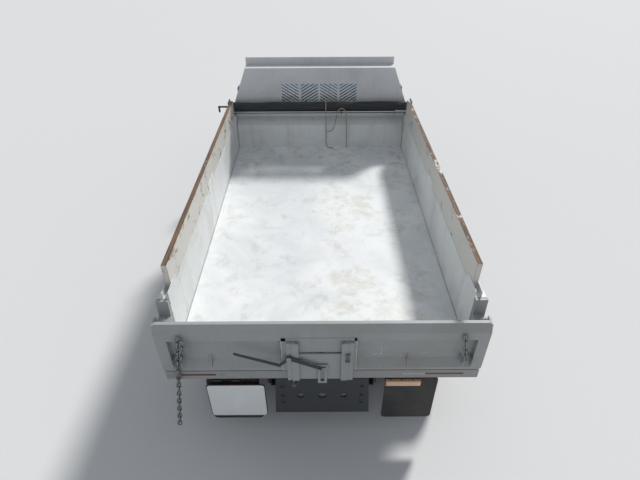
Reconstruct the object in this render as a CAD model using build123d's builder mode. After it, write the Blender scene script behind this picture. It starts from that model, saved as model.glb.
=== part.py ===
"""Medium-duty dump truck: ladder chassis, conventional cab and a 12 ft drop-side dump body.

Millimetres.  +X is the truck's right side, +Y is forward, +Z is up and the ground is at Z 0.
Inside the dump body a place is often told by its distance ahead of the tailgate's rear face
(`behind`) and by its height above the bed floor (`above`).
"""
import os
from math import atan2, degrees, pi, radians, tan

from build123d import *

# ---------------------------------------------------------------- driving dimensions
OVERALL_LENGTH = 7040          # rear door lever to front bumper
LEVER_PROUD = 60               # how far the chute lever stands behind the tailgate
WHEELBASE = 5105
FRONT_OVERHANG = 960

GATE_Y = -OVERALL_LENGTH / 2 + LEVER_PROUD     # rear face of the tailgate
BUMPER_Y = OVERALL_LENGTH / 2
FRONT_AXLE_Y = BUMPER_Y - FRONT_OVERHANG
REAR_AXLE_Y = FRONT_AXLE_Y - WHEELBASE

# tyres and wheels
TYRE_RADIUS = 405
TYRE_WIDTH = 226
RIM_RADIUS = 248
FRONT_TRACK = 1880             # between front tyre centres
DUAL_SPACING = 303             # between the two tyres of a rear pair
DUAL_OUTSIDE = 2385            # over the rear pairs
KINGPIN_X = 790
AXLE_Z = TYRE_RADIUS

# frame rails
FRAME_WIDTH = 864
RAIL_WEB = 8
RAIL_FLANGE = 76
RAIL_DEPTH = 203
RAIL_TOP = 870                 # under the dump body
CAB_RAIL_TOP = 760             # under the cab and the engine
CAB_RAIL_DEPTH = 170
RAIL_KICK_REAR = -250
RAIL_KICK_FRONT = 440

# dump body
FLOOR_Z = 1150
FLOOR_HALF = 1118              # edge of the floor plate
WALL_INNER = 1124              # inner face of a side wall
WALL_OUTER = 1211
FLOOR_START = 92               # floor's rear edge, ahead of the tailgate's face
HEAD_LOWER = 3679              # rear face of the headboard's lower step
HEAD_UPPER = 3787
HEAD_FRONT = 3868
HEAD_TOP = 470
POST_START = 92
POST_END = 205
SIDE_START = 213
SIDE_END = 3780
SIDE_BOTTOM = -60
BOARD_TOP = 680
BOARD_START = 320
BED_PIVOT_BEHIND = 150
BED_PIVOT_Z = 905
GATE_TOP = 375
GATE_BOTTOM = -109
APRON_BOTTOM = -209
GATE_THICK = 85

# cab
CAB_BACK_Y = FRONT_AXLE_Y - 2057
CAB_HALF = 1010
CAB_FLOOR_Z = 770
CAB_BELT_Z = 1400
CAB_ROOF_Z = 2020
COWL_Y = FRONT_AXLE_Y - 830
WALL = 55                      # thickness of doors, roof and cab walls


def at(behind):
    """Y of a place `behind` millimetres ahead of the tailgate's rear face."""
    return GATE_Y + behind


def up(above):
    """Z of a place `above` millimetres over the bed floor."""
    return FLOOR_Z + above


def side_plane(x):
    """Plane square to X at x, whose local axes are Y and Z."""
    return Plane.YZ.offset(x)


def cross_plane(y):
    """Plane square to Y at y, whose local axes are X and Z; its normal points back."""
    return Plane.XZ.offset(-y)


def block(x0, x1, y0, y1, z0, z1, mode=Mode.ADD):
    """Plain block between two corners, inside the open part."""
    with Locations(((x0 + x1) / 2, (y0 + y1) / 2, (z0 + z1) / 2)):
        return Box(x1 - x0, y1 - y0, z1 - z0, mode=mode)


def plate_yz(points, x0, x1, mode=Mode.ADD, radius=0.0):
    """Plate with the (Y, Z) outline `points`, from x0 to x1."""
    with BuildSketch(side_plane(x0)) as outline:
        with BuildLine():
            Polyline(*points, close=True)
        make_face()
        if radius:
            fillet(outline.vertices(), radius)
    return extrude(outline.sketch, amount=x1 - x0, mode=mode)


def plate_xz(points, y0, y1, mode=Mode.ADD, radius=0.0):
    """Plate with the (X, Z) outline `points`, from y0 to y1."""
    with BuildSketch(cross_plane(y0)) as outline:
        with BuildLine():
            Polyline(*points, close=True)
        make_face()
        if radius:
            fillet(outline.vertices(), radius)
    return extrude(outline.sketch, amount=-(y1 - y0), mode=mode)


def rod_x(y, z, radius, x0, x1, mode=Mode.ADD):
    """Round bar along X."""
    with BuildSketch(side_plane(x0)) as section:
        with Locations((y, z)):
            Circle(radius)
    return extrude(section.sketch, amount=x1 - x0, mode=mode)


def rod_y(x, z, radius, y0, y1, mode=Mode.ADD):
    """Round bar along Y."""
    with BuildSketch(cross_plane(y0)) as section:
        with Locations((x, z)):
            Circle(radius)
    return extrude(section.sketch, amount=-(y1 - y0), mode=mode)


def rod_z(x, y, radius, z0, z1, mode=Mode.ADD):
    """Round bar along Z."""
    with BuildSketch(Plane.XY.offset(z0)) as section:
        with Locations((x, y)):
            Circle(radius)
    return extrude(section.sketch, amount=z1 - z0, mode=mode)


def bar_between(start, end, radius):
    """Straight round bar between two points."""
    run = Vector(*end) - Vector(*start)
    with BuildSketch(Plane(origin=start, z_dir=run)) as section:
        Circle(radius)
    return extrude(section.sketch, amount=run.length)


os.makedirs("parts", exist_ok=True)


def save(builder, name):
    """Label a finished piece and write its STEP file."""
    builder.part.label = name
    export_step(builder.part, f"parts/{name}.step")


# ================================================================ chassis
RAIL_REAR_Y = at(130)
RAIL_FRONT_Y = BUMPER_Y - 160


def rail_outline(inset, overrun):
    """(Y, Z) outline of a frame rail, drawn in by `inset` above and below."""
    rear, front = RAIL_REAR_Y - overrun, RAIL_FRONT_Y + overrun
    high, low = RAIL_TOP - inset, RAIL_TOP - RAIL_DEPTH + inset
    cab_high = CAB_RAIL_TOP - inset
    cab_low = CAB_RAIL_TOP - CAB_RAIL_DEPTH + inset
    return [
        (rear, low), (rear, high), (RAIL_KICK_REAR, high), (RAIL_KICK_FRONT, cab_high),
        (front, cab_high), (front, cab_low), (RAIL_KICK_FRONT, cab_low), (RAIL_KICK_REAR, low),
    ]


RAIL_OUTER = FRAME_WIDTH / 2
RAIL_INNER = RAIL_OUTER - RAIL_FLANGE
WEAR_PADS = [700, 1650, 2550, 3060]        # pads under the dump body's sills, from the tailgate

with BuildPart() as frame_rails:
    plate_yz(rail_outline(0, 0), RAIL_INNER, RAIL_OUTER)
    plate_yz(rail_outline(RAIL_WEB, 10), RAIL_INNER - 5, RAIL_OUTER - RAIL_WEB, mode=Mode.SUBTRACT)
    for behind in WEAR_PADS:
        block(RAIL_INNER, RAIL_OUTER, at(behind), at(behind + 120), RAIL_TOP, BED_PIVOT_Z - 5)
    mirror(about=Plane.YZ)
save(frame_rails, "frame_rails")

# crossmembers between the rails: rear edge ahead of the tailgate, low and high Z
CROSSMEMBER_LENGTH = 60
CROSSMEMBERS = [
    # behind, low, high
    (190, 690, 850),
    (1290, 690, 850),       # carries the hoist's foot
    (2150, 690, 800),
    (3100, 690, 850),
    (4050, 645, 745),
    (6650, 610, 740),       # under the radiator
]
SECTION_WALL = 8
HINGE_PLATE = 16
FOOT_BEHIND, FOOT_Z = 1430, 760
EYE_BEHIND, EYE_Z = 2700, 1010
GEARBOX_BOTTOM = 500
FLAP_INNER = 518
FLAP_OUTER = 950
FLAP_BOTTOM = 260
FLAP_TOP = 815

with BuildPart() as frame_crossmembers:
    inside = RAIL_OUTER - RAIL_WEB
    for behind, low, high in CROSSMEMBERS:
        block(-inside, inside, at(behind), at(behind + CROSSMEMBER_LENGTH), low, high)
        block(-inside - 10, inside + 10, at(behind) - 1, at(behind + CROSSMEMBER_LENGTH) - SECTION_WALL,
              low + SECTION_WALL, high - SECTION_WALL, mode=Mode.SUBTRACT)
    # dropped crossmember under the gearbox
    block(-inside, inside, at(5050), at(5110), 450, GEARBOX_BOTTOM)
    for sign in (-1, 1):
        inner, outer = sorted((sign * (inside - 40), sign * inside))
        block(inner, outer, at(5050), at(5110), GEARBOX_BOTTOM, CAB_RAIL_TOP - CAB_RAIL_DEPTH)
    # plates that carry the bed's hinge pin
    for sign in (-1, 1):
        inner, outer = sorted((sign * RAIL_OUTER, sign * (RAIL_OUTER + HINGE_PLATE)))
        plate_yz([(at(130), 700), (at(130), 930), (at(175), 930), (at(240), 860), (at(240), 700)], inner, outer)
    rod_x(at(BED_PIVOT_BEHIND), BED_PIVOT_Z, 22.5, -500, 500, mode=Mode.SUBTRACT)
    # hoist foot: two ears and their pin
    rod_x(at(FOOT_BEHIND), FOOT_Z, 20, -90, 90)
    for sign in (-1, 1):
        inner, outer = sorted((sign * 68, sign * 84))
        block(inner, outer, at(1350), at(FOOT_BEHIND + 38), 705, 815)
    # arms that carry the mud flaps
    for sign in (-1, 1):
        inner, outer = sorted((sign * (RAIL_OUTER + HINGE_PLATE), sign * FLAP_OUTER))
        block(inner, outer, at(146), at(186), 760, 800)
        low_x, high_x = sorted((sign * FLAP_INNER, sign * FLAP_OUTER))
        block(low_x, high_x, at(98), at(146), 770, 790)
save(frame_crossmembers, "frame_crossmembers")


# ---------------------------------------------------------------- axles and springs
SPRING_X = 500
SPRING_WIDTH = 76
SPINDLE_RADIUS = 40
SPINDLE_REACH = 45             # how far a spindle runs into its hub
REAR_HUB_X = 641               # inner face of the rear hubs


def leaf_pack(axle_y, half, seat_z, eye_z, leaves, x):
    """Leaf pack at x: each leaf shorter than the one above it, arched down to the seat."""
    thick = 12
    for index in range(leaves):
        reach = half * (1 - 0.16 * index)
        drop = (eye_z - seat_z) * (reach / half) ** 2
        top = seat_z - index * thick
        with BuildSketch(side_plane(x - SPRING_WIDTH / 2)) as leaf:
            with BuildLine():
                rear = (axle_y - reach, top + drop)
                front = (axle_y + reach, top + drop)
                ThreePointArc(rear, (axle_y, top), front)
                Line(front, (front[0], front[1] - thick))
                ThreePointArc((front[0], front[1] - thick), (axle_y, top - thick), (rear[0], rear[1] - thick))
                Line((rear[0], rear[1] - thick), rear)
            make_face()
        extrude(leaf.sketch, amount=SPRING_WIDTH)


FRONT_SPRING_HALF = 560
REAR_SPRING_HALF = 640

# axle, half length, seat Z, eye Z, leaves, top of the hangers, U-bolt's half spread, underside of the axle
LEAF_SPRINGS = [
    (FRONT_AXLE_Y, FRONT_SPRING_HALF, 500, 560, 3, 700, 55, 395),
    (REAR_AXLE_Y, REAR_SPRING_HALF, 535, 620, 5, 800, 73, 343),
]
U_BOLT_RADIUS = 9
U_BOLT_X = 49                  # either side of the spring's middle

with BuildPart() as leaf_springs:
    for axle_y, half, seat_z, eye_z, leaves, hanger_top, spread, axle_low in LEAF_SPRINGS:
        for sign in (-1, 1):
            x = sign * SPRING_X
            leaf_pack(axle_y, half, seat_z, eye_z, leaves, x)
            for end in (-1, 1):
                y = axle_y + end * half
                rod_x(y, eye_z - 6, 26, x - 38, x + 38)
                inner, outer = sorted((sign * RAIL_OUTER, sign * (RAIL_OUTER + 110)))
                block(inner, outer, y - 22, y + 22, eye_z + 14, hanger_top)
                for edge in (-1, 1):
                    rod_z(x + edge * U_BOLT_X, axle_y + end * spread, U_BOLT_RADIUS, axle_low - 24, seat_z + 14)
            reach_x, reach_y = U_BOLT_X + 14, spread + 14
            block(x - reach_x, x + reach_x, axle_y - reach_y, axle_y + reach_y, axle_low - 12, axle_low)
            block(x - reach_x, x + reach_x, axle_y - reach_y, axle_y + reach_y, seat_z, seat_z + 12)
save(leaf_springs, "leaf_springs")

with BuildPart() as front_axle:
    with BuildSketch(cross_plane(FRONT_AXLE_Y - 45)):
        with BuildLine():
            Polyline((-KINGPIN_X + 42, 370), (-640, 350), (-568, 395), (568, 395), (640, 350), (KINGPIN_X - 42, 370),
                     (KINGPIN_X - 42, 440), (640, 430), (560, 464), (-560, 464), (-640, 430),
                     (-KINGPIN_X + 42, 440), close=True)
        make_face()
    extrude(amount=-90)
    for sign in (-1, 1):
        rod_z(sign * KINGPIN_X, FRONT_AXLE_Y, 45, 352, 458)
        rod_z(sign * KINGPIN_X, FRONT_AXLE_Y, 18, 300, 352)
        rod_z(sign * KINGPIN_X, FRONT_AXLE_Y, 18, 458, 510)
save(front_axle, "front_axle")

# casing of the final drive: along the truck from the axle's middle, radius
CASING = [(-150, 0), (-150, 70), (-105, 150), (-60, 190), (55, 190), (120, 120), (190, 95), (300, 78), (300, 0)]

with BuildPart() as rear_axle:
    rod_x(REAR_AXLE_Y, AXLE_Z, 62, -640, 640)
    with BuildSketch(Plane(origin=(0, REAR_AXLE_Y, AXLE_Z), x_dir=(0, 1, 0), z_dir=(-1, 0, 0))) as casing:
        with BuildLine():
            Polyline(*CASING, close=True)
        make_face()
    revolve(casing.sketch, axis=Axis((0, REAR_AXLE_Y, AXLE_Z), (0, 1, 0)))
    for sign in (-1, 1):
        inner, outer = sorted((sign * 600, sign * 640))
        rod_x(REAR_AXLE_Y, AXLE_Z, 190, inner, outer)
        block(sign * SPRING_X - 38, sign * SPRING_X + 38, REAR_AXLE_Y - 60, REAR_AXLE_Y + 60, AXLE_Z + 40, 475)
        stub_in, stub_out = sorted((sign * 640, sign * (REAR_HUB_X + SPINDLE_REACH)))
        rod_x(REAR_AXLE_Y, AXLE_Z, SPINDLE_RADIUS, stub_in, stub_out)
save(rear_axle, "rear_axle")

# ---------------------------------------------------------------- drive line
ENGINE_X = 300
ENGINE_BACK_Y = COWL_Y + 30
ENGINE_FRONT_Y = FRONT_AXLE_Y + 330
GEARBOX_BACK_Y = CAB_BACK_Y + 430

with BuildPart() as engine:
    block(-ENGINE_X, ENGINE_X, ENGINE_BACK_Y, ENGINE_FRONT_Y, 580, 1150)
    block(-170, 170, GEARBOX_BACK_Y, ENGINE_BACK_Y, GEARBOX_BOTTOM, 740)
    block(-370, 370, at(6640), at(6700), CAB_RAIL_TOP, 1170)
    for sign in (-1, 1):
        inner, outer = sorted((sign * ENGINE_X, sign * (RAIL_OUTER - RAIL_WEB)))
        block(inner, outer, FRONT_AXLE_Y - 170, FRONT_AXLE_Y - 90, 640, 700)
save(engine, "engine")

SHAFT_REAR_Y, SHAFT_REAR_Z = REAR_AXLE_Y + 300, AXLE_Z + 10
SHAFT_FRONT_Z = 600

with BuildPart() as driveshaft:
    bar_between((0, SHAFT_REAR_Y + 35, SHAFT_REAR_Z), (0, GEARBOX_BACK_Y - 35, SHAFT_FRONT_Z), 45)
    rod_y(0, SHAFT_REAR_Z, 55, SHAFT_REAR_Y, SHAFT_REAR_Y + 45)
    rod_y(0, SHAFT_FRONT_Z, 55, GEARBOX_BACK_Y - 45, GEARBOX_BACK_Y)
save(driveshaft, "driveshaft")

PIPE_X, PIPE_Z = 240, 540
PIPE_RADIUS = 38
MUFFLER_RADIUS = 95
# straight runs of the pipe: (X, Y) of both ends
PIPE_RUNS = [
    ((PIPE_X, ENGINE_BACK_Y + 90), (PIPE_X, at(2385))),
    ((PIPE_X - 18, at(2428)), (PIPE_X + 112, at(2298))),
    ((PIPE_X + 69, at(2316)), (1000, at(2316))),
]
with BuildPart() as exhaust:
    for start, end in PIPE_RUNS:
        bar_between((*start, PIPE_Z), (*end, PIPE_Z), PIPE_RADIUS)
    rod_y(PIPE_X, PIPE_Z, MUFFLER_RADIUS, at(3450), at(4150))
    block(PIPE_X - 30, PIPE_X + 30, ENGINE_BACK_Y + 30, ENGINE_BACK_Y + 90, PIPE_Z, 580)
    block(PIPE_X - 12, PIPE_X + 12, at(4060), at(4100), PIPE_Z + MUFFLER_RADIUS - 8, 645)
    block(PIPE_X - 8, PIPE_X + 8, at(3110), at(3150), PIPE_Z + PIPE_RADIUS - 6, 690)
save(exhaust, "exhaust")

TANK_OUTER = 1000
with BuildPart() as chassis_tanks:
    # fuel tank on the left, hydraulic oil tank on the right
    block(-TANK_OUTER, -500, at(2350), at(3350), 480, 860)
    fillet(chassis_tanks.edges().filter_by(Axis.Y), 70)
    block(500, 860, at(2700), at(3250), 600, 860)
    for sign, ends in ((-1, (2500, 2980)), (1, (2780, 3000))):
        inner, outer = sorted((sign * 500, sign * RAIL_OUTER))
        for behind in ends:
            block(inner, outer, at(behind), at(behind + 60), 690, 850)
save(chassis_tanks, "chassis_tanks")

# ---------------------------------------------------------------- rear crossmember, hitch plate and mud flaps
HITCH_BEHIND = 75
HITCH_TOP = 830
HITCH_BOTTOM = 360
HITCH_HOLES = [(-180, 30), (0, 36), (180, 30)]       # X, radius
HITCH_HOLE_Z = 600

with BuildPart() as hitch_plate:
    plate_xz([(-378, HITCH_TOP), (378, HITCH_TOP), (405, HITCH_BOTTOM), (-405, HITCH_BOTTOM)],
             at(HITCH_BEHIND), at(HITCH_BEHIND + 20))
    for sign in (-1, 1):
        inner, outer = sorted((sign * (RAIL_INNER + 10), sign * (RAIL_INNER + 26)))
        block(inner, outer, at(HITCH_BEHIND + 20), at(190), 690, HITCH_TOP)
    for x, radius in HITCH_HOLES:
        rod_y(x, HITCH_HOLE_Z, radius, at(HITCH_BEHIND - 5), at(HITCH_BEHIND + 25), mode=Mode.SUBTRACT)
save(hitch_plate, "hitch_plate")

with BuildPart() as mud_flaps:
    for sign in (-1, 1):
        low, high = sorted((sign * FLAP_INNER, sign * FLAP_OUTER))
        plate_xz([(low, FLAP_TOP), (high, FLAP_TOP), (high, FLAP_BOTTOM), (low, FLAP_BOTTOM)],
                 at(88), at(98), radius=35)
save(mud_flaps, "mud_flaps")

LAMP_BEHIND = 60
# lamps under the dump body's rear end: low and high X, low and high Z
TAIL_LAMPS = [(520, 806, 742, 802), (-806, -520, 700, 760)]
ROOF_LAMPS = [-620, -160, 0, 160, 620]
ROOF_LAMP_HALF = 42
ROOF_FALL = 25 / 710           # slope of the roof to either side

with BuildPart() as marker_lamps:
    for x0, x1, z0, z1 in TAIL_LAMPS:
        block(x0, x1, at(LAMP_BEHIND), at(88), z0, z1)
    fillet(marker_lamps.faces().sort_by(Axis.Y)[0:2].edges(), 9)
    for x in ROOF_LAMPS:
        seat_z = CAB_ROOF_Z - ROOF_FALL * max(abs(x) - ROOF_LAMP_HALF, 0)
        block(x - ROOF_LAMP_HALF, x + ROOF_LAMP_HALF, CAB_BACK_Y + 560, CAB_BACK_Y + 625, seat_z, seat_z + 30)
save(marker_lamps, "marker_lamps")


# ================================================================ wheels
FRONT_WHEEL_X = FRONT_TRACK / 2
OUTER_DUAL_X = DUAL_OUTSIDE / 2 - TYRE_WIDTH / 2
INNER_DUAL_X = OUTER_DUAL_X - DUAL_SPACING
DUAL_FACE_X = (OUTER_DUAL_X + INNER_DUAL_X) / 2

SHOULDER_HALF = 84             # half width of the tread
SHOULDER_RADIUS = 358
BEAD_HALF = 95
BEAD_RADIUS = 296
RIM_HALF = 104
RIM_LIP = 7
LIP_RADIUS = 262
RIM_INSIDE = 238
WELL_HALF = 40                 # the drop in the rim's middle, which carries the disc
WELL_INSIDE = 207
DISC_THICK = 12
SKIRT_INSIDE = 198
HAND_HOLE_CIRCLE = 166
HAND_HOLE_RADIUS = 21
DRUM_RADIUS = 160
WHEEL_SIDES = 28               # facets round a tyre or a wheel


def wheel_section(x, radius, axle_y):
    """Faceted round section about an axle, with a flat facet at the ground."""
    plane = Plane(origin=(x, axle_y, AXLE_Z), x_dir=(0, 1, 0), z_dir=(1, 0, 0))
    with BuildSketch(plane) as section:
        RegularPolygon(radius, WHEEL_SIDES, major_radius=False, rotation=180 / WHEEL_SIDES)
    return section.sketch


def drum(x0, x1, radius, axle_y, mode=Mode.ADD):
    """Straight round form about an axle."""
    low, high = sorted((x0, x1))
    extrude(wheel_section(low, radius, axle_y), amount=high - low, mode=mode)


def cone(x0, radius0, x1, radius1, axle_y, mode=Mode.ADD):
    """Tapered round form about an axle."""
    slope = degrees(atan2(radius0 - radius1, abs(x1 - x0)))
    extrude(wheel_section(x0, radius0, axle_y), amount=x1 - x0, taper=slope, mode=mode)


def tyre(centre_x, axle_y):
    """Tyre with sloped shoulders, bulged sidewalls and beads that draw in to the rim."""
    half = TYRE_WIDTH / 2
    drum(centre_x - SHOULDER_HALF, centre_x + SHOULDER_HALF, TYRE_RADIUS, axle_y)
    for side in (-1, 1):
        shoulder, wall = centre_x + side * SHOULDER_HALF, centre_x + side * half
        cone(shoulder, TYRE_RADIUS, wall, SHOULDER_RADIUS, axle_y)
    drum(centre_x - half - 5, centre_x + half + 5, RIM_RADIUS, axle_y, mode=Mode.SUBTRACT)
    for side in (-1, 1):
        bead, wall = centre_x + side * BEAD_HALF, centre_x + side * half
        cone(bead, LIP_RADIUS + 2, wall, BEAD_RADIUS, axle_y, mode=Mode.SUBTRACT)


def rim(centre_x, axle_y):
    """Rim with its two lips and its drop centre."""
    drum(centre_x - RIM_HALF, centre_x + RIM_HALF, RIM_RADIUS - 1, axle_y)
    for side in (-1, 1):
        edge = centre_x + side * RIM_HALF
        drum(edge - side * RIM_LIP, edge, LIP_RADIUS, axle_y)
    for side in (-1, 1):
        well, edge = centre_x + side * WELL_HALF, centre_x + side * (RIM_HALF + 5)
        drum(well, edge, RIM_INSIDE, axle_y, mode=Mode.SUBTRACT)
    drum(centre_x - WELL_HALF, centre_x + WELL_HALF, WELL_INSIDE, axle_y, mode=Mode.SUBTRACT)


def disc(rim_x, face_x, axle_y):
    """Bell-shaped disc: a flat face at the hub and a skirt that runs back into the rim's well."""
    side = 1 if rim_x > face_x else -1
    drum(face_x, rim_x, WELL_INSIDE + 1, axle_y)
    drum(face_x + side * DISC_THICK, rim_x + side * 5, SKIRT_INSIDE, axle_y, mode=Mode.SUBTRACT)


def hand_holes(face_x, axle_y, count=6):
    """Holes through the disc's flat face."""
    plane = Plane(origin=(face_x, axle_y, AXLE_Z), x_dir=(0, 1, 0), z_dir=(1, 0, 0))
    with BuildSketch(plane) as holes:
        with PolarLocations(HAND_HOLE_CIRCLE, count):
            RegularPolygon(HAND_HOLE_RADIUS, 8)
    extrude(holes.sketch, amount=DISC_THICK * 1.5, both=True, mode=Mode.SUBTRACT)


def hub(face_x, inner_x, outer_x, axle_y):
    """Brake drum and hub behind the wheel's face, bored for the spindle, with the hub's cap in front."""
    side = 1 if outer_x > face_x else -1
    drum(inner_x, face_x - side * DISC_THICK, DRUM_RADIUS, axle_y)
    low, high = sorted((face_x - side * DISC_THICK, outer_x))
    rod_x(axle_y, AXLE_Z, 64, low, high)
    low, high = sorted((inner_x - side, inner_x + side * (SPINDLE_REACH + 5)))
    rod_x(axle_y, AXLE_Z, SPINDLE_RADIUS + 0.3, low, high, mode=Mode.SUBTRACT)


def save_wheel(name, rim_places, face_x, inner_x, outer_x, axle_y):
    """Build and save a wheel: its discs and hub, with one rim at each of `rim_places`."""
    with BuildPart() as wheel:
        for rim_x in rim_places:
            disc(rim_x, face_x, axle_y)
        hand_holes(face_x, axle_y)
        hub(face_x, inner_x, outer_x, axle_y)
        for rim_x in rim_places:
            with BuildPart(mode=Mode.PRIVATE) as ring:
                rim(rim_x, axle_y)
            add(ring.part)
    save(wheel, name)


SIDES = [("left", -1), ("right", 1)]
FRONT_HUB_X = FRONT_WHEEL_X - 30       # inner face of the front hubs

for side_name, sign in SIDES:
    face_x = sign * (FRONT_WHEEL_X + 45)
    with BuildPart() as front_tyre:
        tyre(sign * FRONT_WHEEL_X, FRONT_AXLE_Y)
    save(front_tyre, f"front_tyre_{side_name}")
    save_wheel(f"front_wheel_{side_name}", [sign * FRONT_WHEEL_X], face_x, sign * FRONT_HUB_X,
               sign * (FRONT_WHEEL_X + 95), FRONT_AXLE_Y)

for side_name, sign in SIDES:
    face_x = sign * DUAL_FACE_X
    with BuildPart() as rear_tyres:
        tyre(sign * OUTER_DUAL_X, REAR_AXLE_Y)
    with BuildPart() as inner_tyre:
        tyre(sign * INNER_DUAL_X, REAR_AXLE_Y)
    with BuildPart() as tyre_pair:
        add(rear_tyres.part)
        add(inner_tyre.part)
    save(tyre_pair, f"rear_tyres_{side_name}")
    save_wheel(f"rear_wheels_{side_name}", [sign * OUTER_DUAL_X, sign * INNER_DUAL_X], face_x, sign * REAR_HUB_X,
               sign * (DUAL_FACE_X + 120), REAR_AXLE_Y)


# ---------------------------------------------------------------- steering
ARM_REACH = 165                # steering arm behind the kingpin
for side_name, sign in SIDES:
    with BuildPart() as knuckle:
        for low, high in ((316, 346), (464, 494)):
            rod_z(sign * KINGPIN_X, FRONT_AXLE_Y, 40, low, high)
        rod_z(sign * KINGPIN_X, FRONT_AXLE_Y, 18.4, 300, 510, mode=Mode.SUBTRACT)
        inner, outer = sorted((sign * (KINGPIN_X + 53), sign * (KINGPIN_X + 85)))
        block(inner, outer, FRONT_AXLE_Y - 60, FRONT_AXLE_Y + 60, 316, 494)
        for low, high in ((316, 346), (464, 494)):
            arm_in, arm_out = sorted((sign * (KINGPIN_X + 30), sign * (KINGPIN_X + 60)))
            block(arm_in, arm_out, FRONT_AXLE_Y - 25, FRONT_AXLE_Y + 25, low, high)
        spindle_in, spindle_out = sorted((sign * (KINGPIN_X + 85), sign * (FRONT_HUB_X + SPINDLE_REACH)))
        rod_x(FRONT_AXLE_Y, AXLE_Z, SPINDLE_RADIUS, spindle_in, spindle_out)
        arm_low, arm_high = sorted((sign * (KINGPIN_X - 40), sign * (KINGPIN_X + 5)))
        block(arm_low, arm_high, FRONT_AXLE_Y - ARM_REACH - 25, FRONT_AXLE_Y - 30, 316, 340)
    save(knuckle, f"knuckle_{side_name}")

with BuildPart() as tie_rod:
    rod_x(FRONT_AXLE_Y - ARM_REACH, 290, 16, -KINGPIN_X + 18, KINGPIN_X - 18)
    for sign in (-1, 1):
        rod_z(sign * (KINGPIN_X - 18), FRONT_AXLE_Y - ARM_REACH, 26, 272, 309)
save(tie_rod, "tie_rod")


# ================================================================ cab
def cab_section(inset):
    """(X, Z) half profile of the cab, drawn in by `inset`."""
    return [
        (0, CAB_FLOOR_Z + inset), (CAB_HALF - 15 - inset, CAB_FLOOR_Z + inset),
        (CAB_HALF - inset, 1100), (CAB_HALF - inset, CAB_BELT_Z),
        (CAB_HALF - 190 - inset, CAB_ROOF_Z - 90 - inset * 0.4),
        (CAB_HALF - 300 - inset * 0.6, CAB_ROOF_Z - 25 - inset),
        (0, CAB_ROOF_Z - inset),
    ]


def cab_solid(inset, y0, y1):
    """Solid with the cab's cross section from y0 to y1."""
    half = cab_section(inset)
    other = [(-x, z) for x, z in reversed(half[1:-1])]
    return plate_xz(half + other, y0, y1)


SCREEN_FOOT = (COWL_Y, CAB_BELT_Z + 10)
SCREEN_HEAD = (COWL_Y - 400, CAB_ROOF_Z - 62)
SCREEN_SLOPE = (SCREEN_FOOT[0] - SCREEN_HEAD[0]) / (SCREEN_HEAD[1] - SCREEN_FOOT[1])


def screen_y(z):
    """Y of the windscreen's outer face at height z."""
    return SCREEN_FOOT[0] - SCREEN_SLOPE * (z - SCREEN_FOOT[1])


def behind_screen(inset):
    """(Y, Z) outline of everything behind the windscreen plane, drawn back by `inset`."""
    top = CAB_ROOF_Z + 100
    return [
        (CAB_BACK_Y - 50, CAB_FLOOR_Z - 50), (COWL_Y - inset, CAB_FLOOR_Z - 50),
        (COWL_Y - inset, SCREEN_FOOT[1]), (screen_y(top) - inset, top), (CAB_BACK_Y - 50, top),
    ]


with BuildPart() as cab_room:
    cab_solid(WALL, CAB_BACK_Y + WALL, COWL_Y - WALL)
    plate_yz(behind_screen(WALL * 1.1), -1200, 1200, mode=Mode.INTERSECT)

with BuildPart() as cab_hull:
    cab_solid(0, CAB_BACK_Y, COWL_Y)
    plate_yz(behind_screen(0), -1200, 1200, mode=Mode.INTERSECT)
    add(cab_room.part, mode=Mode.SUBTRACT)

DOOR_REAR_Y = CAB_BACK_Y + 97
DOOR_FRONT_Y = COWL_Y - 130
DOOR_BOTTOM = 834
DOOR_TOP = 1880
DOOR_GAP = 8
SILL_Z = 1425
GLASS_TOP = 1810
DOOR_INSIDE_X = 700


def door_outline(grow):
    """(Y, Z) outline of a door, grown by `grow` all round."""
    return [
        (DOOR_REAR_Y - grow, DOOR_BOTTOM - grow), (DOOR_FRONT_Y + grow, DOOR_BOTTOM - grow),
        (DOOR_FRONT_Y + grow, CAB_BELT_Z + 10), (screen_y(DOOR_TOP + grow) - 130 + grow, DOOR_TOP + grow),
        (DOOR_REAR_Y - grow, DOOR_TOP + grow),
    ]


def door_window(shrink):
    """(Y, Z) outline of a door's window, drawn in by `shrink`."""
    return [
        (DOOR_REAR_Y + 75 + shrink, SILL_Z + shrink), (screen_y(SILL_Z) - 235 - shrink, SILL_Z + shrink),
        (screen_y(GLASS_TOP) - 235 - shrink, GLASS_TOP - shrink), (DOOR_REAR_Y + 75 + shrink, GLASS_TOP - shrink),
    ]


SCREEN_PLANE = Plane(
    origin=(0, SCREEN_FOOT[0], SCREEN_FOOT[1]), x_dir=(1, 0, 0),
    z_dir=(0, -(SCREEN_HEAD[1] - SCREEN_FOOT[1]), -(SCREEN_FOOT[0] - SCREEN_HEAD[0])),
)
SCREEN_LENGTH = ((SCREEN_FOOT[0] - SCREEN_HEAD[0]) ** 2 + (SCREEN_HEAD[1] - SCREEN_FOOT[1]) ** 2) ** 0.5


def screen_outline(shrink):
    """Windscreen outline on the screen's own plane, where local Y runs up the glass."""
    foot, head = 45 + shrink, SCREEN_LENGTH - 55 - shrink
    return [(-880 + shrink, foot), (880 - shrink, foot), (735 - shrink, head), (-735 + shrink, head)]


with BuildPart() as cab_openings:
    with BuildSketch(SCREEN_PLANE) as opening:
        with BuildLine():
            Polyline(*screen_outline(0), close=True)
        make_face()
        fillet(opening.vertices(), 60)
    extrude(amount=120, both=True)
    plate_xz([(-520, 1450), (520, 1450), (520, 1830), (-520, 1830)], CAB_BACK_Y - 20, CAB_BACK_Y + 90, radius=70)
    for sign in (-1, 1):
        inner, outer = sorted((sign * DOOR_INSIDE_X, sign * 1100))
        plate_yz(door_outline(DOOR_GAP), inner, outer, radius=40)

with BuildPart() as cab_frame:
    add(cab_hull.part)
    add(cab_openings.part, mode=Mode.SUBTRACT)

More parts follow.
